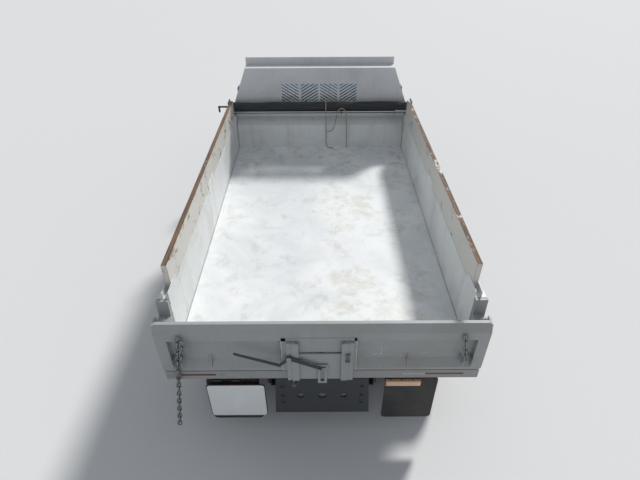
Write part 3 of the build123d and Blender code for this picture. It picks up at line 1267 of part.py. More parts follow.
with BuildPart() as hoist_rod:
    bar_between(on_hoist(130), on_hoist(HOIST_RUN.length - 20), ROD_RADIUS)
    rod_x(at(EYE_BEHIND), EYE_Z, 40, -45, 45)
    rod_x(at(EYE_BEHIND), EYE_Z, 20.4, -70, 70, mode=Mode.SUBTRACT)
save(hoist_rod, "hoist_rod")
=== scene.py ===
"""Dresses the drop-side dump truck: finishes, tyre tread, trim, lamps, chains, tarp and cords."""

import logging
import math
import random
from dataclasses import dataclass
from enum import Enum
from typing import Sequence

import bmesh
import bpy
from mathutils import Matrix, Vector

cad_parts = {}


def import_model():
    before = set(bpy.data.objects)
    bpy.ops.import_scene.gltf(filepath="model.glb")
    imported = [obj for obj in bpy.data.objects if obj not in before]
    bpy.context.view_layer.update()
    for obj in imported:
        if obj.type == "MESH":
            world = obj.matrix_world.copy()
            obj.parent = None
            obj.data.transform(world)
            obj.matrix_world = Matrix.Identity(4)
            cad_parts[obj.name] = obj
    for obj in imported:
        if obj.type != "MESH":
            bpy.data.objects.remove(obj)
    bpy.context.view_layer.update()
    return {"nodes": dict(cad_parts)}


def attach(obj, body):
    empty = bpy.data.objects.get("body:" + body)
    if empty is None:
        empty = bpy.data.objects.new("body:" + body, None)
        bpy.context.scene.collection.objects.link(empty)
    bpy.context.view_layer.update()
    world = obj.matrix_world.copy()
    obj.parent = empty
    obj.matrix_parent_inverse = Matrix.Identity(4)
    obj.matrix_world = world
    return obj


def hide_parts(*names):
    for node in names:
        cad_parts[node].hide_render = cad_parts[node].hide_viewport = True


LOG = logging.getLogger("dump_truck")
Point = tuple[float, float, float]
Colour = tuple[float, float, float, float]

# ------------------------------------------------------------------ the truck's own places, in metres
GATE_Y = -3.46                 # rear face of the tailgate
FLOOR_Z = 1.15                 # top of the bed floor
FRONT_AXLE_Y = 2.56
REAR_AXLE_Y = -2.545
AXLE_Z = 0.405


def at(behind: float) -> float:
    """Y of a place that many metres ahead of the tailgate's rear face."""
    return GATE_Y + behind


def up(above: float) -> float:
    """Z of a place that many metres over the bed floor."""
    return FLOOR_Z + above


def paint_of(code: str) -> Colour:
    """Linear colour of a six-digit display colour.

    Args:
        code: the colour, such as "C9CDD0".

    Returns:
        Red, green, blue and alpha.
    """
    shares = [int(code[i:i + 2], 16) / 255 for i in (0, 2, 4)]
    linear = [s / 12.92 if s <= 0.04045 else ((s + 0.055) / 1.055) ** 2.4 for s in shares]
    return (linear[0], linear[1], linear[2], 1.0)


# ------------------------------------------------------------------ shader maths
class Wire:
    """One output of a shader node; sums on it add Math nodes."""

    def __init__(self, graph: "Graph", socket: bpy.types.NodeSocket) -> None:
        """Wraps a socket of a graph."""
        self.graph = graph
        self.socket = socket

    def _math(self, operation: str, first: "Wire | float", second: "Wire | float") -> "Wire":
        """Adds a Math node on two values."""
        return self.graph.add("ShaderNodeMath", {"operation": operation}, {0: first, 1: second})

    def __add__(self, other: "Wire | float") -> "Wire":
        """Sum."""
        return self._math("ADD", self, other)

    def __radd__(self, other: float) -> "Wire":
        """Reflected sum."""
        return self._math("ADD", other, self)

    def __sub__(self, other: "Wire | float") -> "Wire":
        """Difference."""
        return self._math("SUBTRACT", self, other)

    def __rsub__(self, other: float) -> "Wire":
        """Reflected difference."""
        return self._math("SUBTRACT", other, self)

    def __mul__(self, other: "Wire | float") -> "Wire":
        """Product."""
        return self._math("MULTIPLY", self, other)

    def __rmul__(self, other: float) -> "Wire":
        """Reflected product."""
        return self._math("MULTIPLY", other, self)

    def sine(self) -> "Wire":
        """Sine of the value, in radians."""
        return self._math("SINE", self, 0.0)

    def size(self) -> "Wire":
        """Absolute value."""
        return self._math("ABSOLUTE", self, 0.0)

    def between(self, low: float, high: float, first: float = 0.0, last: float = 1.0) -> "Wire":
        """Smooth step of the value.

        Args:
            low: where the step starts.
            high: where it ends.
            first: result at the start.
            last: result at the end.

        Returns:
            The stepped value.
        """
        return self.graph.add("ShaderNodeMapRange", {"interpolation_type": "SMOOTHSTEP"},
                              {"Value": self, "From Min": low, "From Max": high,
                               "To Min": first, "To Max": last})


Value = Wire | float | tuple


class Graph:
    """A material's node tree with its Principled shader."""

    def __init__(self, material: bpy.types.Material) -> None:
        """Starts a clean tree in a material."""
        material.use_nodes = True
        self.material = material
        self.tree = material.node_tree
        self.tree.nodes.clear()
        self.output = self.tree.nodes.new("ShaderNodeOutputMaterial")
        self.shader = self.tree.nodes.new("ShaderNodeBsdfPrincipled")
        self.tree.links.new(self.shader.outputs[0], self.output.inputs[0])

    def add(self, kind: str, settings: dict | None = None, sockets: dict | None = None,
            output: int | str = 0) -> Wire:
        """Adds one node.

        Args:
            kind: the node's type.
            settings: its own settings, set first; "stops" are a ramp's stops.
            sockets: values or wires by input name or number.
            output: which output to hand back.

        Returns:
            That output as a wire.
        """
        node = self.tree.nodes.new(kind)
        for name, value in (settings or {}).items():
            if name == "stops":
                self._set_stops(node.color_ramp, value)
            else:
                setattr(node, name, value)
        for name, value in (sockets or {}).items():
            self._feed(node.inputs[name], value)
        return Wire(self, node.outputs[output])

    def _set_stops(self, ramp: bpy.types.ColorRamp, stops: Sequence[tuple[float, Colour]]) -> None:
        """Gives a colour ramp its stops."""
        while len(ramp.elements) < len(stops):
            ramp.elements.new(1.0)
        for element, (place, colour) in zip(ramp.elements, stops):
            element.position = place
            element.color = colour

    def _feed(self, socket: bpy.types.NodeSocket, value: Value) -> None:
        """Links a wire to an input, or sets the input's own value."""
        if isinstance(value, Wire):
            self.tree.links.new(value.socket, socket)
        else:
            socket.default_value = value

    def set(self, **sockets: Value) -> None:
        """Feeds the Principled shader; underscores stand for spaces in socket names."""
        for name, value in sockets.items():
            self._feed(self.shader.inputs[name.replace("_", " ")], value)

    def place(self) -> Wire:
        """Place on the truck, in metres."""
        return self.add("ShaderNodeTexCoord", output="Object")

    def axis(self, index: int) -> Wire:
        """One coordinate of the place: 0 across, 1 along, 2 up."""
        return self.add("ShaderNodeSeparateXYZ", None, {0: self.place()}, index)

    def facing(self, index: int) -> Wire:
        """One component of the surface's own direction on the truck."""
        normal = self.add("ShaderNodeTexCoord", output="Normal")
        return self.add("ShaderNodeSeparateXYZ", None, {0: normal}, index)

    def noise(self, scale: float, detail: float = 4.0, rough: float = 0.55, warp: float = 0.0,
              stretch: Point = (1.0, 1.0, 1.0)) -> Wire:
        """Fractal noise over the truck.

        Args:
            scale: cells per metre.
            detail: octaves.
            rough: how strong the small octaves are.
            warp: distortion.
            stretch: factor on each axis; under 1 draws the grain out along that axis.

        Returns:
            The noise, about 0..1.
        """
        place = self.add("ShaderNodeMapping", None, {0: self.place(), "Scale": stretch})
        return self.add("ShaderNodeTexNoise", None,
                        {"Vector": place, "Scale": scale, "Detail": detail, "Roughness": rough,
                         "Distortion": warp})

    def cells(self, scale: float, feature: str = "F1") -> Wire:
        """Voronoi cells over the truck, as a distance."""
        return self.add("ShaderNodeTexVoronoi", {"feature": feature},
                        {"Vector": self.place(), "Scale": scale}, "Distance")

    def mix(self, share: Value, first: Value, second: Value) -> Wire:
        """Mix of two colours.

        Args:
            share: how much of the second shows.
            first: a colour or a wire.
            second: a colour or a wire.

        Returns:
            The mixed colour.
        """
        return self.add("ShaderNodeMix", {"data_type": "RGBA", "blend_type": "MIX", "clamp_factor": True},
                        {0: share, 6: first, 7: second}, 2)

    def edges(self, reach: float) -> Wire:
        """How much the surface turns within a reach, 0 on a flat face and more at an edge.

        Args:
            reach: how far round a point the surface is looked at, in metres.

        Returns:
            The edge mask before any threshold.
        """
        soft = self.add("ShaderNodeBevel", {"samples": 4}, {"Radius": reach})
        own = self.add("ShaderNodeNewGeometry", output="Normal")
        agree = self.add("ShaderNodeVectorMath", {"operation": "DOT_PRODUCT"}, {0: soft, 1: own}, "Value")
        return 1.0 - agree

    def bump(self, height: Wire, depth: float) -> Wire:
        """Normal of a relief.

        Args:
            height: the relief, 0..1.
            depth: its real depth in metres.

        Returns:
            The normal.
        """
        return self.add("ShaderNodeBump", None, {"Height": height, "Distance": depth, "Strength": 1.0})


# ------------------------------------------------------------------ finishes
@dataclass(frozen=True)
class Finish:
    """A surface finish; each kind writes its own shade()."""

    name: str

    def shade(self, graph: Graph) -> None:
        """Draws the finish into a graph."""
        raise NotImplementedError

    def material(self) -> bpy.types.Material:
        """The finish as a material, made once."""
        found = bpy.data.materials.get(self.name)
        if found is None:
            found = bpy.data.materials.new(self.name)
            self.shade(Graph(found))
        return found


@dataclass(frozen=True)
class WornEnamel(Finish):
    """White body enamel that has carried gravel: grime, streaks, scuffs, chips and rust."""

    base: Colour = paint_of("DDDFE0")
    grime: Colour = paint_of("8E8B84")
    steel: Colour = paint_of("6F7276")
    rust: Colour = paint_of("6E4A33")
    grime_share: float = 0.35
    scuff_share: float = 0.25
    streaks: bool = True
    rust_share: float = 0.5
    along: float = 0.12

    def shade(self, graph: Graph) -> None:
        """Layers grime, streaks, scuffs and rust on the enamel."""
        cloud = graph.noise(1.7, 5.0, 0.6, 0.4)
        fine = graph.noise(23.0, 5.0, 0.65)
        speck = graph.noise(140.0, 2.0, 0.6)
        colour = graph.mix(cloud.between(0.42, 0.75) * self.grime_share, self.base, self.grime)
        colour = graph.mix(fine.between(0.5, 0.78) * (self.grime_share * 0.6), colour, self.grime)
        if self.streaks:
            runs = graph.noise(9.0, 4.0, 0.6, 0.1, (1.0, 1.0, 0.05))
            colour = graph.mix(runs.between(0.52, 0.8) * (self.grime_share * 0.8), colour, self.grime)
        scratch = graph.noise(70.0, 3.0, 0.6, 0.3, (1.0, self.along, 0.6))
        patch = graph.noise(2.6, 4.0, 0.6, 0.6)
        scuffs = scratch.between(0.6, 0.72) * patch.between(0.42, 0.66)
        colour = graph.mix(scuffs * self.scuff_share, colour, self.steel)
        edge = graph.edges(0.007).between(0.03, 0.35)
        chips = edge * (fine + speck * 0.4).between(0.62, 0.8)
        spots = speck.between(0.72, 0.8) * patch.between(0.5, 0.7)
        bare = graph.mix(fine.between(0.35, 0.6), self.rust, self.steel)
        wear = graph.add("ShaderNodeMath", {"operation": "MAXIMUM"}, {0: chips, 1: spots})
        colour = graph.mix(wear * self.rust_share, colour, bare)
        graph.set(Base_Color=colour, Roughness=cloud * 0.2 + fine * 0.12 + 0.36 + scuffs * 0.2,
                  Normal=graph.bump(fine * 0.6 + speck * 0.25 - wear * 0.8 - scuffs * 0.5, 0.0007),
                  Specular_IOR_Level=0.45)


@dataclass(frozen=True)
class FloorEnamel(Finish):
    """Bed floor enamel: near white, with faint dragged scuffs, grey blooms, a few small dings, and painted
    shade towards the headboard.
    """

    base: Colour = paint_of("D9DCDE")
    pale: Colour = paint_of("ECEEEE")
    # grey of the scuffs, also the tone of the painted shade near the headboard
    scuff_and_shade: Colour = paint_of("A4A6A7")
    stain: Colour = paint_of("C4BCA6")
    dark: Colour = paint_of("6C6B68")

    def shade(self, graph: Graph) -> None:
        """Layers the floor's wear and the painted shade near the headboard."""
        broad = graph.noise(0.9, 6.0, 0.62, 0.5)
        cloud = graph.noise(5.5, 7.0, 0.7, 0.35)
        fine = graph.noise(60.0, 4.0, 0.7)
        dragged = graph.noise(48.0, 5.0, 0.72, 0.6, (1.0, 0.07, 1.0))
        crossed = graph.noise(16.0, 6.0, 0.75, 1.6, (0.5, 0.22, 1.0))
        colour = graph.mix(broad.between(0.36, 0.62), self.base, self.pale)
        colour = graph.mix(cloud.between(0.48, 0.74) * 0.3, colour, self.scuff_and_shade)
        colour = graph.mix(dragged.between(0.55, 0.76) * cloud.between(0.4, 0.62) * 0.4, colour, self.scuff_and_shade)
        colour = graph.mix(crossed.between(0.62, 0.72) * fine.between(0.4, 0.6) * 0.3, colour, self.dark)
        colour = graph.mix((broad * cloud * 2.0).between(0.5, 0.74) * 0.3, colour, self.stain)
        # painted shade: the floor greyed towards the headboard, where the shield's shadow falls
        head = graph.axis(1).between(at(2.4), at(3.68))
        colour = graph.mix(head * cloud.between(0.44, 0.66) * 0.35, colour, self.scuff_and_shade)
        specks = fine.between(0.7, 0.78) * cloud.between(0.5, 0.64)
        colour = graph.mix(specks * 0.45, colour, self.dark)
        height = broad * 2.2 + cloud * 0.35 + fine * 0.08 - specks * 0.3
        graph.set(Base_Color=colour, Roughness=cloud * 0.2 + fine * 0.12 + 0.4,
                  Normal=graph.bump(height, 0.0012), Specular_IOR_Level=0.35)


@dataclass(frozen=True)
class CoatEnamel(Finish):
    """Gloss enamel under a clear coat, with road dust low down."""

    base: Colour = paint_of("2F6FA8")
    dust: Colour = paint_of("8C8577")
    metallic: float = 0.0
    rough: float = 0.32
    coat: float = 1.0
    dust_low: float = 0.45
    dust_high: float = 1.25

    def shade(self, graph: Graph) -> None:
        """Coats the enamel and dusts it."""
        fine = graph.noise(26.0, 5.0, 0.7)
        broad = graph.noise(2.3, 4.0, 0.6)
        low = graph.axis(2).between(self.dust_low, self.dust_high, 1.0, 0.0)
        dust = (low * (fine * 0.5 + broad * 0.8)).between(0.25, 0.95)
        peel = graph.noise(260.0, 2.0, 0.5)
        colour = graph.mix(dust * 0.55, graph.mix(broad.between(0.3, 0.8) * 0.15, self.base,
                                                  tuple(c * 0.6 for c in self.base[:3]) + (1.0,)), self.dust)
        graph.set(Base_Color=colour, Metallic=self.metallic, Roughness=dust * 0.35 + self.rough,
                  Coat_Weight=dust * -0.8 * self.coat + self.coat, Coat_Roughness=0.06,
                  Normal=graph.bump(peel * 0.5 + dust * fine, 0.00012))


@dataclass(frozen=True)
class ChassisCoat(Finish):
    """Chassis enamel with dust on what faces up and rust at its edges."""

    base: Colour = paint_of("232426")
    dust: Colour = paint_of("6B655B")
    rust: Colour = paint_of("5A3524")
    rust_share: float = 0.7
    rough: float = 0.5

    def shade(self, graph: Graph) -> None:
        """Dusts and rusts the coat."""
        broad = graph.noise(3.1, 5.0, 0.62)
        fine = graph.noise(45.0, 4.0, 0.7)
        level = graph.facing(2).between(0.2, 0.9)
        dust = ((level * 0.7 + 0.25) * (broad * 0.6 + fine * 0.6)).between(0.2, 0.75)
        edge = graph.edges(0.006).between(0.04, 0.4)
        rusty = ((edge * 0.6 + broad * 0.6) * fine * 1.6).between(0.5, 0.72)
        colour = graph.mix(dust * 0.55, self.base, self.dust)
        colour = graph.mix(rusty * self.rust_share, colour, self.rust)
        graph.set(Base_Color=colour, Roughness=dust * 0.3 + self.rough + rusty * 0.15,
                  Normal=graph.bump(fine * 0.7 + rusty * 0.6, 0.0006))


@dataclass(frozen=True)
class BareMetal(Finish):
    """Metal with a drawn or ground grain and some tarnish."""

    base: Colour = paint_of("A8ABAD")
    tarnish: Colour = paint_of("5C5248")
    metallic: float = 1.0
    rough: float = 0.3
    grain: Point = (1.0, 1.0, 0.08)
    tarnish_share: float = 0.35

    def shade(self, graph: Graph) -> None:
        """Draws the grain and the tarnish."""
        grain = graph.noise(190.0, 3.0, 0.6, 0.0, self.grain)
        blot = graph.noise(9.0, 5.0, 0.65)
        fine = graph.noise(70.0, 3.0, 0.7)
        dull = (blot * 0.7 + fine * 0.4).between(0.5, 0.78)
        graph.set(Base_Color=graph.mix(dull * self.tarnish_share, self.base, self.tarnish),
                  Metallic=dull * -0.5 * self.tarnish_share + self.metallic,
                  Roughness=grain * 0.14 + self.rough + dull * 0.25,
                  Normal=graph.bump(grain + dull * 0.4, 0.00015))


@dataclass(frozen=True)
class TyreRubber(Finish):
    """Tyre or flap rubber: dull black, dusty, finely crazed."""

    base: Colour = paint_of("242527")
    dust: Colour = paint_of("6E675C")
    dust_share: float = 0.4
    rough: float = 0.78

    def shade(self, graph: Graph) -> None:
        """Dusts the rubber."""
        blot = graph.noise(7.0, 5.0, 0.65)
        fine = graph.noise(110.0, 4.0, 0.7)
        craze = graph.cells(55.0, "DISTANCE_TO_EDGE").between(0.0, 0.05, 1.0, 0.0) * blot.between(0.5, 0.7)
        dust = (blot * 0.7 + fine * 0.45).between(0.45, 0.85)
        graph.set(Base_Color=graph.mix(dust * self.dust_share, self.base, self.dust),
                  Roughness=dust * 0.12 + self.rough,
                  Normal=graph.bump(fine * 0.8 - craze * 0.5, 0.0004))


@dataclass(frozen=True)
class WornPlank(Finish):
    """Painted plank, grey-brown wood where the paint has gone."""

    paint: Colour = paint_of("C9C7C1")
    wood: Colour = paint_of("7A5F48")
    dark: Colour = paint_of("4A382C")
    worn: float = 0.5

    def shade(self, graph: Graph) -> None:
        """Shows grain through worn paint."""
        grain = graph.noise(85.0, 5.0, 0.65, 0.5, (1.0, 0.035, 1.0))
        blot = graph.noise(4.5, 6.0, 0.68, 0.4)
        fine = graph.noise(60.0, 4.0, 0.7, 0.0, (1.0, 0.2, 1.0))
        top = graph.facing(2).between(0.5, 0.9)
        edge = graph.edges(0.008).between(0.02, 0.3)
        timber = graph.mix(grain.between(0.38, 0.66), self.wood, self.dark)
        loss = blot * 0.75 + fine * 0.35 + top * 0.22 + edge * 0.25 - (0.62 - self.worn * 0.3)
        gone = loss.between(0.0, 0.12)
        painted = graph.mix(grain.between(0.5, 0.8) * 0.25, self.paint, self.wood)
        graph.set(Base_Color=graph.mix(gone, painted, timber), Roughness=gone * 0.25 + 0.52,
                  Normal=graph.bump(grain * 0.9 - gone * 0.5, 0.0012))


@dataclass(frozen=True)
class OpenMesh(Finish):
    """Black woven tarp mesh."""

    base: Colour = paint_of("1F2226")
    sheen: Colour = paint_of("5C6370")
    pitch: float = 0.006

    def shade(self, graph: Graph) -> None:
        """Draws the two ways of the weave."""
        turns = 2 * math.pi / self.pitch
        across = (graph.axis(0) * turns).sine().size()
        around = ((graph.axis(2) + graph.axis(1)) * turns).sine().size()
        weave = graph.add("ShaderNodeMath", {"operation": "MAXIMUM"}, {0: across, 1: around})
        blot = graph.noise(11.0, 5.0, 0.65, 0.3, (0.25, 1.0, 1.0))
        graph.set(Base_Color=graph.mix((weave * blot).between(0.25, 0.8) * 0.35, self.base, self.sheen),
                  Roughness=blot * 0.2 + 0.62, Normal=graph.bump(weave + blot, 0.0012))


@dataclass(frozen=True)
class ClearGlass(Finish):
    """Window glass or a clear lens."""

    tint: Colour = paint_of("DDE9E6")
    rough: float = 0.02
    ribs: float = 0.0

    def shade(self, graph: Graph) -> None:
        """Sets clear glass with a few smears, or a ribbed lens."""
        smear = graph.noise(6.0, 5.0, 0.7, 0.8)
        height = smear * 0.1
        if self.ribs:
            height = height + (graph.axis(0) * (2 * math.pi / self.ribs)).sine()
        graph.set(Base_Color=graph.mix(smear.between(0.5, 0.8) * 0.12, self.tint, paint_of("B9C4C2")),
                  Roughness=smear.between(0.5, 0.85) * 0.08 + self.rough, IOR=1.45,
                  Transmission_Weight=0.95, Normal=graph.bump(height, 0.0003))


@dataclass(frozen=True)
class LampLens(Finish):
    """Moulded lenses with fine prisms: amber on the roof, pale amber right of the gate (the amber lens
    painted lighter, a painted sunlit highlight), red left of it.
    """

    roof: Colour = paint_of("D98A35")
    # pale amber: amber painted lighter, standing for sunlight on the right lamp
    right: Colour = paint_of("E9BE9C")
    left: Colour = paint_of("A01C1C")
    prism: float = 0.006

    def shade(self, graph: Graph) -> None:
        """Chooses the tint by place and draws the prisms."""
        turns = 2 * math.pi / self.prism
        ribs = (graph.axis(0) * turns).sine() * (graph.axis(2) * turns).sine()
        blot = graph.noise(30.0, 4.0, 0.6)
        behind = graph.mix(graph.axis(0).between(-0.01, 0.01), self.left, self.right)
        tint = graph.mix(graph.axis(1).between(-0.5, 0.5), behind, self.roof)
        graph.set(Base_Color=graph.mix(blot.between(0.45, 0.8) * 0.25, tint, paint_of("6B5648")),
                  Roughness=blot * 0.1 + 0.14, Coat_Weight=0.5, Normal=graph.bump(ribs, 0.0004))


@dataclass(frozen=True)
class Moulding(Finish):
    """Grained plastic moulding."""

    base: Colour = paint_of("2A2C2F")
    rough: float = 0.55
    pitch: float = 420.0

    def shade(self, graph: Graph) -> None:
        """Draws the moulded grain."""
        grain = graph.cells(self.pitch)
        blot = graph.noise(5.0, 5.0, 0.65)
        worn = tuple(min(1.0, c * 1.6 + 0.02) for c in self.base[:3]) + (1.0,)
        graph.set(Base_Color=graph.mix(blot.between(0.45, 0.8) * 0.3, self.base, worn),
                  Roughness=blot * 0.15 + self.rough, Normal=graph.bump(grain, 0.0003))


@dataclass(frozen=True)
class WovenCloth(Finish):
    """Seat cloth or webbing with a woven rib."""

    base: Colour = paint_of("4A4D52")
    thread: Colour = paint_of("72767C")
    pitch: float = 0.008

    def shade(self, graph: Graph) -> None:
        """Draws the rib of the weave."""
        turns = 2 * math.pi / self.pitch
        rib = (graph.axis(0) * turns).sine() * ((graph.axis(1) + graph.axis(2)) * turns).sine()
        blot = graph.noise(14.0, 4.0, 0.65)
        graph.set(Base_Color=graph.mix(rib.between(-0.2, 0.8) * 0.5 + blot * 0.2, self.base, self.thread),
                  Roughness=blot * 0.15 + 0.78, Sheen_Weight=0.3, Normal=graph.bump(rib + blot, 0.0008))


@dataclass(frozen=True)
class TwistedCord(Finish):
    """Three-strand cord."""

    base: Colour = paint_of("B9AE97")
    # tone of the painted shade in the hollows between the strands
    dark: Colour = paint_of("6E6453")

    def shade(self, graph: Graph) -> None:
        """Draws the strands, with painted shade in the hollows between them."""
        lay = ((graph.axis(2) + graph.axis(0) * 1.3 + graph.axis(1) * 0.6) * 700.0).sine()
        fuzz = graph.noise(300.0, 3.0, 0.7)
        # painted shade: the hollows between the strands drawn darker
        hollow_shade = lay.between(-0.9, 0.2, 1.0, 0.0) * 0.6
        graph.set(Base_Color=graph.mix(hollow_shade + fuzz * 0.15, self.base, self.dark),
                  Roughness=fuzz * 0.1 + 0.8, Normal=graph.bump(lay + fuzz * 0.5, 0.0006))


@dataclass(frozen=True)
class MarkerTape(Finish):
    """Reflective tape with its honeycomb."""

    base: Colour = paint_of("A9ABAE")
    seam: Colour = paint_of("6C6E72")

    def shade(self, graph: Graph) -> None:
        """Draws the honeycomb and some dirt."""
        comb = graph.cells(150.0, "DISTANCE_TO_EDGE").between(0.0, 0.08, 1.0, 0.0)
        dirt = graph.noise(16.0, 5.0, 0.7)
        graph.set(Base_Color=graph.mix(comb * 0.4 + dirt.between(0.45, 0.75) * 0.5, self.base, self.seam),
                  Roughness=dirt * 0.25 + 0.3, Coat_Weight=0.3, Normal=graph.bump(comb, 0.0002))


class Ink(Enum):
    """Finishes used on the truck."""

    BED = WornEnamel("bed_enamel")
    # tailgate enamel: the white paint given a grey base, partly grime and partly painted shade on the
    # rear-facing gate
    GATE_GRIME_AND_SHADE = WornEnamel("gate_enamel_grime_and_shade", base=paint_of("A2A5A6"), grime_share=0.5, scuff_share=0.4)
    SIDES = WornEnamel("side_enamel", base=paint_of("E2E4E3"), grime_share=0.32, rust_share=0.6)
    APRON = WornEnamel("apron_enamel", base=paint_of("9A9C9D"), grime_share=0.75, rust_share=0.7)
    SHIELD = WornEnamel("shield_enamel", base=paint_of("D2D4D6"), grime_share=0.25, scuff_share=0.15)
    FLOOR = FloorEnamel("floor_enamel")
    CAB = CoatEnamel("cab_enamel")
    WHEEL = CoatEnamel("wheel_enamel", base=paint_of("D4D6D7"), dust=paint_of("5D564C"), coat=0.4,
                       rough=0.4, dust_low=-0.6, dust_high=1.6)
    CHASSIS = ChassisCoat("chassis_coat")
    BRACKET = ChassisCoat("bracket_coat", base=paint_of("3A3D42"), rust_share=0.5)
    ENGINE = ChassisCoat("engine_coat", base=paint_of("4A4D4F"), rust_share=0.3)
    STEEL = BareMetal("ground_steel")
    CHAIN = BareMetal("chain_steel", base=paint_of("8A8D90"), tarnish=paint_of("5E4534"), rough=0.42,
                      tarnish_share=0.7)
    EXHAUST = BareMetal("exhaust_steel", base=paint_of("8C8880"), tarnish=paint_of("6B4630"), rough=0.45,
                        grain=(0.1, 0.1, 1.0), tarnish_share=0.8)
    ALUMINIUM = BareMetal("tank_aluminium", base=paint_of("C4C7C9"), rough=0.28, grain=(1.0, 0.05, 1.0),
                          tarnish_share=0.15)
    CHROME = BareMetal("bumper_chrome", base=paint_of("E2E5E8"), rough=0.08, grain=(0.1, 1.0, 1.0),
                       tarnish_share=0.12)
    TYRE = TyreRubber("tyre_rubber")
    FLAP = TyreRubber("flap_rubber", base=paint_of("1B1D20"), dust_share=0.3, rough=0.6)
    PLANK = WornPlank("plank_worn", paint=paint_of("D5D3CD"), worn=0.0)
    PLANK_BARE = WornPlank("plank_bare", paint=paint_of("D2CEC6"), worn=0.15)
    TARP = OpenMesh("tarp_mesh")
    GLASS = ClearGlass("cab_window")
    LENS = ClearGlass("clear_lens", ribs=0.02)
    LAMP = LampLens("marker_lens")
    TRIM = Moulding("trim_moulding")
    PLATE = Moulding("blank_plate", base=paint_of("E6E8E8"), rough=0.35, pitch=60.0)
    SEAT = WovenCloth("seat_cloth")
    CORD = TwistedCord("thin_cord")
    TAPE_RED = MarkerTape("tape_red", base=paint_of("6A2A2C"), seam=paint_of("45201F"))
    TAPE_WHITE = MarkerTape("tape_white")


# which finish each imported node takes
NODE_FINISH: dict[Ink, tuple[str, ...]] = {
    Ink.FLOOR: ("bed_floor",),
    Ink.BED: ("headboard",),
    Ink.SHIELD: ("cab_shield",),
    Ink.SIDES: ("side_wall_left", "side_wall_right"),
    Ink.GATE_GRIME_AND_SHADE: ("tailgate", "chute_door"),
    Ink.APRON: ("bed_rear_frame", "bed_rub_rails"),
    Ink.PLANK: ("side_board_right",),
    Ink.PLANK_BARE: ("side_board_left",),
    Ink.CHASSIS: ("frame_rails", "frame_crossmembers", "leaf_springs", "front_axle", "rear_axle",
                  "driveshaft", "knuckle_left", "knuckle_right", "tie_rod", "hoist_cylinder", "bed_sills"),
    Ink.BRACKET: ("hitch_plate", "tarp_housing", "chute_lever"),
    Ink.ENGINE: ("engine",),
    Ink.STEEL: ("hoist_rod",),
    Ink.CHAIN: ("gate_chains",),
    Ink.EXHAUST: ("exhaust",),
    Ink.ALUMINIUM: ("chassis_tanks",),
    Ink.CHROME: ("front_bumper",),
    Ink.TYRE: ("front_tyre_left", "front_tyre_right", "rear_tyres_left", "rear_tyres_right"),
    Ink.WHEEL: ("front_wheel_left", "front_wheel_right", "rear_wheels_left", "rear_wheels_right"),
    Ink.FLAP: ("mud_flaps",),
    Ink.CAB: ("cab_floor", "cab_back_panel", "cab_firewall", "cab_roof", "cab_pillars", "door_left",
              "door_right", "hood", "front_fenders"),
    Ink.GLASS: ("cab_glass", "door_glass_left", "door_glass_right"),
    Ink.LENS: ("headlamps",),
    Ink.LAMP: ("marker_lamps",),
    Ink.TRIM: ("dashboard", "grille"),
    Ink.SEAT: ("seat",),
    Ink.TARP: ("tarp_roll",),
    Ink.CORD: ("tarp_cord_left", "tarp_cord_right"),
}


